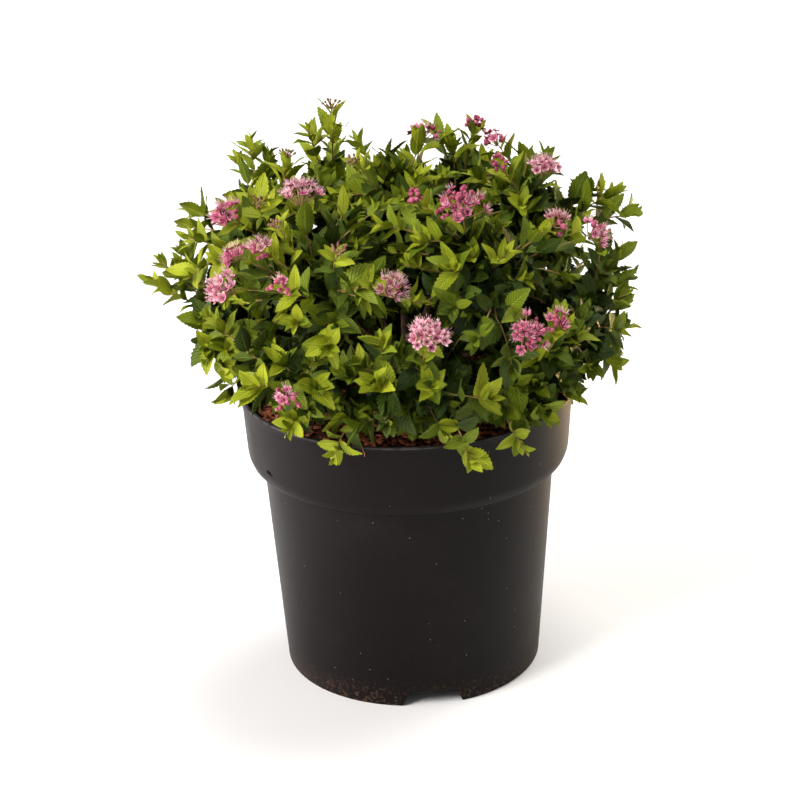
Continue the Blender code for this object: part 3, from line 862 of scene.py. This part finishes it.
def growShoots():
    # Main shoots as in the source: each mass has a leader, and its other shoots leave the leader in turn.
    # Returns control points, mass and blossom head of each shoot
    tips = [
        (direction(bearing, lift), reach, radius / 1000, number, True)
        for number, (bearing, lift, radius, _, _, reach) in enumerate(blossomHeads)
    ]
    tips += [(direction(bearing, lift), reach, 0, None, True) for bearing, lift, reach in outlineTips]
    tips = spreadTips(tips, crown["mainShoots"], 5, crown["plainReach"])
    owners = [int(np.argmax(massWays @ tip[0])) for tip in tips]
    shoots = []
    for mass, middle in enumerate(massWays):
        base = heart + middle * (crown["boughReach"] * envelopeReach(middle) + crown["gap"])
        own = sorted((t for t, m in zip(tips, owners) if m == mass), key=lambda t: -float(t[0] @ middle))
        for order, (way, reach, head, number, pinned) in enumerate(own):
            full = float(envelopeReach(way)) * reach * (1 if pinned else hollowed(way))
            for _ in range(0 if pinned else 40):
                if sideRoom((heart + way * full)[None], mass)[0] > crown["ownRoom"]:
                    break
                way = unit(way * (1 - crown["turnBack"]) + middle * crown["turnBack"])
            stop = heart + way * (full - (head * 0.1 if head else crown["tipRoom"]))
            low = potSizes["height"] + crown["tipOverRim"] + head * 0.55
            inRim = math.hypot(stop[0], stop[1]) < potSizes["lipRadius"] + head
            stop[2] = max(stop[2], low if inRim else low - crown["tipUnderRim"])
            if order == 0:
                ends = (base, base + middle * crown["leaderRun"], stop)
                leader = np.array(ends)
            else:
                first, rise = crown["leaderShares"]
                start = curveAt(leader, np.array(first + rise * order / len(own)))
                lean = (middle + way) * np.linalg.norm(stop - start) * crown["shootLean"]
                ends = (start, start + lean, stop)
            shoots.append((np.array(ends), mass, number, way))
    return shoots


def growFineShoots(mains):
    # Finer shoots fill the lonely directions, in rounds: each leaves the main shoot whose tip is nearest
    mainWays = np.array([way for _, _, _, way in mains])
    shoots = []
    for count, seed, reaches, leaving in crown["fineRounds"]:
        tips = [(way, 1, 0, None, True) for way in mainWays]
        tips = spreadTips(tips, len(mains) + count, seed, reaches)[len(mains):]
        chance = random.Random(seed + 12)
        for way, reach, _, _, _ in tips:
            ends, mass, _, _ = mains[int(np.argmax(mainWays @ way))]
            start = curveAt(ends, np.array(chance.uniform(*leaving)))
            stop = heart + way * (float(envelopeReach(way)) * reach * hollowed(way) - crown["tipRoom"])
            inRim = math.hypot(stop[0], stop[1]) < potSizes["lipRadius"] + crown["fineClear"]
            clear = crown["fineClear"] if inRim else -crown["fineUnderRim"]
            stop[2] = max(stop[2], potSizes["height"] + clear)
            bend = unit(curveWay(ends, np.array(0.5)) + way) * np.linalg.norm(stop - start)
            shoots.append((np.array((start, start + bend * crown["fineLean"], stop)), mass, None, way))
    return shoots + growRimShoots(mains, mainWays)


def growRimShoots(mains, mainWays):
    # Low shoots all round that arch over the rim, but for the openings where soil and rim show
    chance = random.Random(61)
    shoots = []
    for k in range(crown["rimShoots"]):
        bearing = -180 + 360 * (k + chance.uniform(-0.3, 0.3)) / crown["rimShoots"]
        if any(start < bearing < end for start, end in crown["rimGaps"]):
            continue
        way = direction(bearing, chance.uniform(*crown["rimLift"]))
        ends, mass, _, _ = mains[int(np.argmax(mainWays @ way))]
        start = curveAt(ends, np.array(chance.uniform(*crown["rimLeaving"])))
        stop = heart + way * float(envelopeReach(way)) * chance.uniform(*crown["rimReach"]) * hollowed(way)
        isOutside = math.hypot(stop[0], stop[1]) > potSizes["lipRadius"] + crown["fineClear"]
        stop[2] = potSizes["height"] + chance.uniform(*crown["rimTips"][isOutside])
        away, rise = crown["rimCrest"]
        crest = direction(bearing, 0) * away + (0, 0, potSizes["height"] + rise)
        shoots.append((np.array((start, crest, stop)), mass, None, way))
    return shoots


# Limbs
limbs = {
    "boughRadii": (0.0027, 0.0019),
    "mainRadius": 0.00105,
    "fineRadius": 0.0007,
    "tipRadius": 0.00040,
    "flareRadius": 0.019,
    "flareHeight": 0.0085,
    "seat": 0.1903,
    # Steps along and sides round
    "stemGrid": (26, 40),
    "boughGrid": (22, 12),
    "twigGrid": (10, 6),
    "twigWave": 0.0012,
}


def makeStem():
    # The root crown: a neck with a round head and a flare exp(-(height / flareHeight)^1.2) at the soil,
    # carried up the axis as a circle and ridged round about
    s = limbs
    steps, sides = s["stemGrid"]
    headHeight, headRadius = crown["headHeight"], crown["headRadius"]
    z = s["seat"] + (headHeight + headRadius - s["seat"]) * np.linspace(0, 1, steps)
    dome = np.sqrt(np.clip(1 - ((z - headHeight) / headRadius) ** 2, 0, 1)) * headRadius
    flare = s["flareRadius"] * np.exp(-((z - s["seat"]) / s["flareHeight"]) ** 1.2)
    radius = np.maximum(np.where(z < headHeight, np.maximum(headRadius, flare), dome), 0.0002)
    turn = circle(sides)
    ridges = 1 + 0.06 * ripple(31, np.cos(turn) * 5, np.sin(turn) * 5, waves=6, finest=3.0)
    path = np.stack([np.zeros(steps), np.zeros(steps), z], -1)
    relief = np.broadcast_to(ridges, (1, steps, sides))
    addPiece("stemBase", tubes(path[None], radius[None], sides, relief), barkFinish(), "bark", ["stem"])


def makeBoughs():
    # A tapering, ridged circle carried along each bough's cubic curve, from the stem's head to its mass
    s = limbs
    steps, sides = s["boughGrid"]
    share = np.linspace(0, 1, steps)[:, None]
    paths = []
    for way, start in zip(massWays, boughStarts):
        a = np.array([0, 0, crown["headHeight"]]) + start * (crown["headRadius"] - 0.002)
        d = heart + way * crown["boughReach"] * envelopeReach(way)
        b, c = a + start * crown["boughStartRun"], d - way * crown["boughEndRun"]
        cubic = a * (1 - share) ** 3 + 3 * b * share * (1 - share) ** 2
        paths.append(cubic + 3 * c * share**2 * (1 - share) + d * share**3)
    radii = np.broadcast_to(np.linspace(*s["boughRadii"], steps), (len(paths), steps))
    turn = circle(sides)
    which = np.arange(len(paths))[:, None, None]
    run = np.arange(steps)[None, :, None]
    relief = 1 + 0.07 * ripple(33, np.cos(turn) * 4 + which, np.sin(turn) * 4, run * 0.5, waves=7, finest=3.0)
    addPiece("boughs", tubes(np.array(paths), radii, sides, relief), barkFinish(), "bark", boughNodes)


def makeTwigs(mains, fines):
    # A tapering circle carried along each shoot's curve, which sways by a ripple times 4 t (1-t)
    s = limbs
    steps, sides = s["twigGrid"]
    ends = np.array([shoot[0] for shoot in mains + fines])
    share = np.broadcast_to(np.linspace(0, 1, steps), (len(ends), steps))
    wave = ripple(35, share * 9 + np.arange(len(ends))[:, None] * 3, waves=4, finest=3.0)
    sway = wave * s["twigWave"] * share * (1 - share) * 4
    paths = curveAt(ends[:, None], share) + sideOf(curveWay(ends[:, None], share)) * sway[..., None]
    thick = np.array([s["mainRadius"]] * len(mains) + [s["fineRadius"]] * len(fines))[:, None]
    addFoliage("twigs", tubes(paths, thick + (s["tipRadius"] - thick) * share, sides), twigFinish())
    return ends


def barkFinish():
    # Greyish brown bark with fine ridges along the limb
    f = Finish("bark", (0.16, 0.085, 0.045), 0.85)
    place = f.place()
    ridges = f.noise(f.stretch(place, (420, 420, 110)), 1, 4, 0.65)
    stops = [(0.3, (0.055, 0.030, 0.018)), (0.55, (0.16, 0.088, 0.050)), (0.8, (0.29, 0.19, 0.12))]
    f.feed("Base Color", f.ramp(ridges, stops))
    f.bump(ridges, 0.8, 0.0008)
    return f


def twigFinish():
    # Young wood: orange-pink brown with greener and darker stretches
    f = Finish("youngWood", (0.30, 0.12, 0.055), 0.6)
    place = f.place()
    share = f.noise(place, 70, 3)
    stops = [(0.3, (0.12, 0.058, 0.018)), (0.5, (0.29, 0.170, 0.045)), (0.7, (0.23, 0.24, 0.040))]
    f.feed("Base Color", f.ramp(share, stops))
    f.bump(f.noise(place, 1500, 2), 0.3, 0.0003)
    return f


# Leaves
leaves = {
    "spacing": 0.0060,
    "longest": 0.0262,
    "shortest": 0.0165,
    "fineScale": 0.90,
    "shootScale": (1, 0.10),
    "leafScale": (0.78, 1.20),
    "slimness": 0.60,
    "slimmerTips": 0.07,
    "slimScale": (0.86, 1.16),
    # Low shoots bear rounder leaves: heights of the tip, and the width beside the slimness
    "rounder": ((0.21, 0.35), (1.08, 0.80)),
    "curl": (0.02, 0.26),
    "fold": (0.18, 0.55),
    # Share of a main and a fine shoot where the lowest leaf sits, and the share of the last one
    "firstShares": (0.18, 0.12),
    "lastShare": 0.965,
    # Degrees between leaf and shoot at the lowest leaf, and how much less at the last one
    "spread": (74, 36),
    # The fan at a shoot's tip: how many, how far apart, and spread and length of the first with their steps
    "fan": 7,
    "fanSpacing": 0.024,
    "fanSpread": (10, 9.0),
    "fanLength": (0.0088, 0.0017),
    "upward": 0.34,
    "wayJitter": 0.13,
    "faceJitter": 0.25,
    # Each try at a place leans less and is shorter
    "tries": 6,
    "tryLean": 0.09,
    "tryScale": 0.97,
    # What makes a leaf paler: nearness to the outside and to the shoot's tip, chance, and the left side.
    # Nearness to the tip is younger growth. Nearness to the outside is partly younger growth and partly
    # painted light, against painted shade inside the crown. The left side is painted light from the key lamp
    "tone": {"depth": 1.1, "part": 0.55, "shoot": 0.11, "leaf": 0.09, "left": 0.75},
    "rows": 19,
    "columns": 3,
    "teeth": (1.09, 0.92),
    "shares": (0.17, 0.215, 0.25, 0.205, 0.16),
}
# From tip to inside, and from painted light to painted shade: name, dark and light base colour
leafColours = (
    ("leavesLime", (0.215, 0.270, 0.009), (0.360, 0.408, 0.016)),
    ("leavesFreshAndLit", (0.118, 0.174, 0.006), (0.212, 0.266, 0.011)),
    ("leavesMiddle", (0.056, 0.095, 0.005), (0.109, 0.152, 0.008)),
    ("leavesDeep", (0.026, 0.052, 0.004), (0.054, 0.084, 0.005)),
    ("leavesShade", (0.012, 0.029, 0.003), (0.027, 0.050, 0.004)),
)


def leafSheets(root, way, face, length, slimness, curl, fold, wave):
    # A folded blade on a grid, u from -1 to 1 across and v from 0 to 1 along. Half width is
    # v^0.6 (1-v)^0.9 with a tooth on every other edge row, the tip bends back by curl v^2,
    # and the halves rise from the rib by fold |u|
    rows, columns = leaves["rows"], leaves["columns"]
    v = np.linspace(0, 1, rows)[:, None]
    u = np.linspace(-1, 1, columns)[None]
    body = np.clip(v, 0.001, 1) ** 0.6 * np.clip(1 - v, 0.0, 1) ** 0.9
    body = np.maximum(body / body.max(), 0.035)
    edge = (np.abs(u) > 0.9) & (v > 0.12) & (v < 0.95)
    tooth = (np.arange(rows) % 2 == 1)[:, None]
    reach = body * np.where(edge, np.where(tooth, *leaves["teeth"]), 1.0)
    forward = np.where(edge & tooth, 0.35 / rows, 0.0)
    along = v + forward + np.zeros_like(u)
    half = (length * slimness / 2)[:, None, None]
    x = along[None] * length[:, None, None]
    y = half * (u * reach)[None]
    z = fold[:, None, None] * np.abs(y) - (curl * length)[:, None, None] * (along**2)[None]
    ripples = np.sin(along[None] * 9 + wave[:, None, None]) * np.abs(u)[None] * 0.025
    z = z + ripples * length[:, None, None]
    across = unit(np.cross(face, way))
    face = np.cross(way, across)
    points = root[:, None, None] + x[..., None] * way[:, None, None]
    return points + y[..., None] * across[:, None, None] + z[..., None] * face[:, None, None]


def placeLeaves(ends, isFine):
    # Leaves up every shoot, each turned on from the last, then a fan of small ones at the tip.
    # A blade that would cut the pot, the soil or a flower head is turned on again, and dropped in the end.
    # Returns the kept blades, with the score that deals them out by tone, and a random tint
    chance = np.random.default_rng(41)
    s = leaves
    run = np.linalg.norm(ends[:, 2] - ends[:, 0], axis=-1)
    firstShare = np.where(isFine, s["firstShares"][1], s["firstShares"][0])
    counts = np.maximum(3, (run * (0.96 - firstShare) / s["spacing"]).astype(int))
    shoot = np.repeat(np.arange(len(ends)), counts)
    order = np.arange(len(shoot)) - np.repeat(np.cumsum(counts) - counts, counts)
    part = (order + 0.5) / counts[shoot]
    share = firstShare[shoot] + (s["lastShare"] - firstShare[shoot]) * part
    spread = np.radians(s["spread"][0] - s["spread"][1] * part)
    length = s["longest"] + (s["shortest"] - s["longest"]) * part**1.4
    fan = np.tile(np.arange(s["fan"]), len(ends))
    shoot = np.concatenate([shoot, np.repeat(np.arange(len(ends)), s["fan"])])
    order = np.concatenate([order, fan])
    part = np.concatenate([part, np.full(len(fan), 1.4)])
    share = np.concatenate([share, 1.0 - s["fanSpacing"] * fan])
    spread = np.concatenate([spread, np.radians(s["fanSpread"][0] + s["fanSpread"][1] * fan)])
    length = np.concatenate([length, s["fanLength"][0] + s["fanLength"][1] * fan])
    count = len(shoot)
    size = chance.normal(*s["shootScale"], len(ends)).clip(0.8, 1.2)[shoot]
    size = size * chance.uniform(*s["leafScale"], count)
    length = length * size * np.where(isFine[shoot], s["fineScale"], 1.0)
    root = curveAt(ends[shoot], share)
    along = curveWay(ends[shoot], share)
    first = sideOf(along)
    second = np.cross(along, first)
    outward = unit(root - heart)
    turn = chance.uniform(0, 2 * math.pi, len(ends))[shoot] + order * goldenAngle
    curl = chance.uniform(*s["curl"], count)
    fold = chance.uniform(*s["fold"], count)
    rounder = np.interp(ends[shoot, 2, 2], *s["rounder"])
    slim = (s["slimness"] - s["slimmerTips"] * part) * rounder * chance.uniform(*s["slimScale"], count)
    wave = chance.uniform(0, 6.28, count)
    jitter = chance.normal(0, s["faceJitter"], (count, 3))
    wayJitter = chance.normal(0, s["wayJitter"], (count, 3))
    lifted = np.where(part > 1, 0.35, 0.75)[:, None]
    kept = np.zeros(count, bool)
    sheets = np.zeros((count, s["rows"], s["columns"], 3))
    for attempt in range(s["tries"]):
        todo = np.flatnonzero(~kept)
        if not len(todo):
            break
        lean = spread[todo] * (1 - s["tryLean"] * attempt)
        aside = turned(first[todo], second[todo], turn[todo] + attempt * goldenAngle)
        way = unit(turned(along[todo], aside, lean) + (0, 0, s["upward"]) + wayJitter[todo])
        inner = along[todo] * np.sin(lean)[:, None] - aside * np.cos(lean)[:, None]
        face = inner * 0.9 + (outward[todo] * 0.6 + (0, -0.1, 0.9)) * lifted[todo] + jitter[todo]
        face = unit(face - way * dots(face, way))
        shrunk = length[todo] * s["tryScale"] ** attempt
        made = leafSheets(root[todo], way, face, shrunk, slim[todo], curl[todo], fold[todo], wave[todo])
        fits = clearsPot(made).all(axis=(1, 2)) & clearOfHeads(made[:, 4:])
        sheets[todo[fits]], kept[todo[fits]] = made[fits], True
    depth = np.linalg.norm(root - heart, axis=-1) / envelopeReach(outward)
    t = s["tone"]
    tone = chance.normal(0, 1, len(ends))[shoot]
    # The score holds painted light and shade: paler towards the outside, on the left and higher up, where the
    # lamps fall, and darker inside and low down, where shade falls. The tip and chance terms are the leaves'
    # own tone
    score = depth * t["depth"] + np.minimum(part, 1.05) * t["part"] + tone * t["shoot"]
    score = score + chance.normal(0, t["leaf"], count) - root[:, 0] * t["left"] + root[:, 2]
    return sheets[kept], score[kept], chance.uniform(0, 1, count)[kept]


def clearOfHeads(sheets):
    # True for a blade with no point inside the ball round a flower head
    ok = np.ones(len(sheets), bool)
    for centre, up, radius in headPlaces:
        away = np.linalg.norm(sheets - centre - up * radius * 0.35, axis=-1).min(axis=(1, 2))
        ok &= away > radius * 0.88
    return ok


def makeLeaves(ends, isFine):
    # Deals the blades out to the five pieces by their score, in the shares of the dictionary
    sheets, score, tint = placeLeaves(ends, isFine)
    edges = np.quantile(score, 1 - np.cumsum(leaves["shares"])[:-1])
    group = (score[:, None] < edges[None]).sum(axis=1)
    for k, (name, dark, light) in enumerate(leafColours):
        own = group == k
        addSheets(name, sheets[own], leafFinish(name, dark, light), tint[own])
    print("leaves", len(sheets))


def leafFinish(name, dark, light):
    # A matt blade with a pale rib and side veins: the ribs come from the distance to the midline,
    # and the side veins from v plus that distance, repeated
    f = Finish(name, light, 0.5, Specular_IOR_Level=0.2)
    uv = f.place("UV")
    aside = abs(f.axis(uv, "X") - 0.5)
    run = f.axis(uv, "Y") * 8 - aside * 6
    veins = run.do("PINGPONG", run, 0.5).between(0.0, 0.24)
    rib = 1 - aside.between(0.012, 0.07)
    mottle = f.noise(f.place(), 260, 3)
    colour = f.mix((f.attribute("tint") * 0.75 + mottle * 0.35).between(0.1, 0.95), dark, light)
    pale = tuple(min(1, c * 1.35 + 0.02) for c in light)
    # Darker side veins: partly the veins' own colour and partly painted shade in the pleats along them
    colour = f.mix((1 - veins) * 0.34, colour, tuple(c * 0.75 for c in dark))
    colour = f.mix(rib * 0.55, colour, pale)
    f.feed("Base Color", colour)
    f.feed("Roughness", mottle * 0.2 + 0.42)
    f.bump(veins * 0.8 - rib * 0.7 + mottle * 0.2, 0.7, 0.0014)
    return f


# Blossom
blossom = {
    "flowerRadius": 0.0037,
    "flowerScale": (0.82, 1.12),
    "headScale": 0.95,
    "flowersPerArea": 1.45,
    # Height of a head's middle over its rim, and how uneven it is, beside the radius
    "dome": 0.55,
    "unevenness": 0.14,
    # How far the three lobes of a small and of a large head stand out, and where large begins
    "lobes": (0.10, 0.20),
    "largeHead": 0.012,
    "petals": 5,
    "petalGrid": (5, 4),
    "petalCups": (0.25, 0.95),
    "heartRadius": 0.00095,
    "stamens": 10,
    "stamenLength": 0.0050,
    "stamenScale": (0.75, 1.15),
    "stamenRadius": 0.00010,
    # Outward and upward share of the length, at a thread's bend and at its end
    "stamenBend": (0.30, 0.35),
    "stamenEnd": (0.45, 0.85),
    "stamenRing": 0.0006,
    "antherRadius": 0.00030,
    "budsPerFlower": 3,
    "budSpread": 0.0019,
    "budRadius": 0.0016,
    "budScale": (0.7, 1.15),
    "brownCount": 13,
    "brownSpread": 0.0008,
    "brownScale": (0.42, 0.68),
    "stalkRadius": 0.00032,
}
petalColours = {
    "pale": ((0.37, 0.05, 0.12), (0.80, 0.48, 0.54)),
    "pink": ((0.38, 0.026, 0.12), (0.78, 0.36, 0.48)),
    "deep": ((0.25, 0.008, 0.06), (0.60, 0.16, 0.28)),
    "dull": ((0.20, 0.045, 0.045), (0.50, 0.26, 0.27)),
}


def headsOf(mains):
    # Centre, upward direction and radius of each flower head, at its shoot's tip
    places = [None] * len(blossomHeads)
    for ends, _, number, _ in mains:
        if number is not None:
            up = unit(curveWay(ends, np.array(1.0)) + (0, -0.2, 0.7))
            places[number] = (ends[2], up, blossomHeads[number][2] / 1000 * blossom["headScale"])
    return places


def sunflower(up, count, offset, phase):
    # Even spots on a disc square to up: share of its radius, angle and direction of each, every spot
    # turned on from the last by the golden angle
    k = np.arange(count)
    turn = k * goldenAngle + phase
    return np.sqrt((k + offset) / count), turn, around(up[None], turn)[0]


def flowerSpots(centre, up, radius, chance):
    # Spots on a shallow dome whose rim stands out in three lobes, each with its own outward direction
    b = blossom
    count = max(5, round((radius / b["flowerRadius"]) ** 2 * b["flowersPerArea"]))
    out, turn, aside = sunflower(up, count, 0.4, chance.uniform(0, 6.28))
    height = b["dome"] * (1 - out**2) + chance.uniform(-b["unevenness"], b["unevenness"], count)
    out = out * (1 + b["lobes"][radius > b["largeHead"]] * np.sin(3 * turn))
    spots = centre + aside * (out * radius * 0.84)[:, None] + up * (height * radius)[:, None]
    ways = unit(up + aside * (out * 0.95)[:, None] + chance.normal(0, 0.34, (count, 3)))
    return spots, ways


def stalksTo(tops, spots, foot, share, drop):
    # Control points of each flower's stalk, from the head's foot to its top
    middle = foot + (spots - foot) * share - drop
    return np.stack([np.broadcast_to(foot, spots.shape), middle, tops], axis=1)


def gathered(pairs):
    # Joins pairs of points and ways into two arrays
    return [np.concatenate(arrays) for arrays in zip(*pairs)]


def petalSheets(spots, ways, radii, turns, cups):
    # Round petals for each flower: u across and v along, half width 0.4 sin(0.92 pi v^0.7)^0.75 + 0.03,
    # and a cup that rises with x^2
    rows, columns = blossom["petalGrid"]
    v = np.linspace(0, 1, rows)[:, None]
    u = np.linspace(-1, 1, columns)[None]
    width = np.sin(np.pi * np.clip(v, 0.02, 1) ** 0.70 * 0.92) ** 0.75 * 0.40 + 0.03
    x = 0.10 + 0.90 * v + np.zeros_like(u) - 0.07 * v * u**2
    y = u * width
    cup = cups[:, None, None]
    z = cup * (x**2 * 0.75)[None] - 0.10 * (u**2 * v)[None] + 0.05 * (np.abs(u) * v)[None]
    out = around(ways, turns[:, None] + circle(blossom["petals"]))
    across = np.cross(ways[:, None], out)[:, :, None, None]
    grid = x[None, None, ..., None] * out[:, :, None, None] + y[None, None, ..., None] * across
    grid = grid + z[:, None, ..., None] * ways[:, None, None, None]
    return spots[:, None, None, None] + grid * radii[:, None, None, None, None]


def makeBlossom():
    # Deals the spots of every head out to open flowers and buds, and makes the pieces of all heads together
    chance = np.random.default_rng(53)
    b = blossom
    flowers = {tone: [] for tone in petalColours}
    buds, closed, stalks = [], [], []
    for (centre, up, radius), (_, _, _, share, tone, _) in zip(headPlaces, blossomHeads):
        if tone == "brown":
            continue
        spots, ways = flowerSpots(centre, up, radius, chance)
        isOpen = chance.uniform(0, 1, len(spots)) < share
        flowers[tone].append((spots[isOpen], ways[isOpen]))
        for spot, way in zip(spots[~isOpen], ways[~isOpen]):
            near = spot + chance.normal(0, b["budSpread"], (b["budsPerFlower"], 3)) - way * 0.0006
            buds.append((near, np.broadcast_to(way, near.shape)))
        foot = centre - up * radius * 0.55
        stalks.append(stalksTo(spots - ways * 0.0003, spots, foot, 0.55, up * radius * 0.06))
    spots, ways = makeFlowers(flowers, chance)
    makeStamens(spots, ways, chance)
    near, budWays = gathered(buds)
    budRadii = b["budRadius"] * chance.uniform(*b["budScale"], len(near))
    rose = mottled("bud", (0.20, 0.010, 0.040), (0.44, 0.085, 0.165), 160, 0.5)
    addFoliage("buds", balls(near, budWays, budRadii, 8, 4, 1.1), rose)
    for (centre, up, radius), head in zip(headPlaces, blossomHeads):
        if head[4] == "brown":
            out, _, aside = sunflower(up, b["brownCount"], 0.5, 0)
            near = centre + aside * (out * radius)[:, None] + up * ((0.5 - out**2 * 0.5) * radius)[:, None]
            near = near + chance.normal(0, b["brownSpread"], near.shape)
            foot = centre - up * radius * 0.7
            stalks.append(stalksTo(near, near, foot, 0.5, up * radius * 0.1))
            closed.append((near, unit(near - foot)))
    near, budWays = gathered(closed)
    budRadii = b["budRadius"] * chance.uniform(*b["brownScale"], len(near))
    brown = mottled("brownBud", (0.15, 0.13, 0.035), (0.24, 0.065, 0.060), 240, 0.7)
    addFoliage("brownBuds", balls(near, budWays, budRadii, 7, 3, 1.25), brown)
    green = mottled("flowerStalk", (0.24, 0.17, 0.05), (0.36, 0.23, 0.09), 200, 0.6)
    addFoliage("flowerStalks", curveTubes(np.concatenate(stalks), 5, b["stalkRadius"], 4), green)
    print("flowers", len(spots))


def makeFlowers(flowers, chance):
    # Petals in one piece per tone, and the hearts of all flowers in another
    b = blossom
    for tone, (inner, outer) in petalColours.items():
        spots, ways = gathered(flowers[tone])
        count = len(spots)
        radii = b["flowerRadius"] * chance.uniform(*b["flowerScale"], count)
        cups = chance.uniform(*b["petalCups"], count)
        sheets = petalSheets(spots, ways, radii, chance.uniform(0, 6.28, count), cups)
        name = "petals" + tone.capitalize()
        tint = np.repeat(chance.uniform(0, 1, count), b["petals"])
        addSheets(name, sheets.reshape(-1, *b["petalGrid"], 3), petalFinish(name, inner, outer), tint)
    spots, ways = gathered(pair for tone in petalColours for pair in flowers[tone])
    hearts = balls(spots + ways * 0.0003, ways, np.full(len(spots), b["heartRadius"]), 8, 3, 0.6)
    crimson = mottled("flowerHeart", (0.07, 0.008, 0.010), (0.13, 0.018, 0.018), 600, 0.6)
    addFoliage("flowerHearts", hearts, crimson)
    return spots, ways


def makeStamens(spots, ways, chance):
    # A ring of threads round each heart that rise and lean outwards, each with a small globe at its end
    b = blossom
    count = b["stamens"]
    out = around(ways, circle(count) + chance.uniform(-0.2, 0.2, (len(spots), count)))
    tall = chance.uniform(*b["stamenScale"], (len(spots), count, 1)) * b["stamenLength"]
    start = spots[:, None] + out * b["stamenRing"]
    steps = (b["stamenBend"], b["stamenEnd"])
    bend, stop = (start + out * tall * aside + ways[:, None] * tall * up for aside, up in steps)
    ends = np.stack([start, bend, stop], axis=2).reshape(-1, 3, 3)
    threads = mottled("stamen", (0.72, 0.38, 0.47), (0.86, 0.56, 0.62), 250, 0.5)
    addFoliage("stamens", curveTubes(ends, 3, b["stamenRadius"], 3), threads)
    radii = np.full(len(ends), b["antherRadius"])
    anthers = balls(ends[:, 2], curveWay(ends, np.ones(len(ends))), radii, 4, 1)
    addFoliage("anthers", anthers, mottled("anther", (0.34, 0.19, 0.12), (0.50, 0.33, 0.20), 400, 0.7))


def petalFinish(name, inner, outer):
    # Deeper at the petal's foot and paler at its rim, with a faint streak along it. The deep foot is partly
    # the flower's own colour and partly painted shade in the cup, and the pale rim is partly a painted
    # highlight
    f = Finish(name, outer, 0.6, Specular_IOR_Level=0.3)
    uv = f.place("UV")
    along = f.axis(uv, "Y")
    # Foot to rim: deeper to paler, partly painted shade in the cup and a painted highlight at the rim
    rise = (along * 0.85 + f.attribute("tint") * 0.30).between(0.36, 1.06)
    f.feed("Base Color", f.mix(rise, inner, outer))
    f.bump(f.noise(f.stretch(uv, (9, 1.5, 1)), 2, 2), 0.3, 0.0004)
    return f


print("camera and studio")
addCamera()
addStudio()
print("pot and soil")
makePot()
makeScuffs()
makeSoil()
makeChips()
makeFibres()
print("limbs")
mains = growShoots()
fines = growFineShoots(mains)
headPlaces = headsOf(mains)
makeStem()
makeBoughs()
shootEnds = makeTwigs(mains, fines)
print("leaves")
fineFlags = np.array([False] * len(mains) + [True] * len(fines))
makeLeaves(shootEnds, fineFlags)
print("blossom")
makeBlossom()
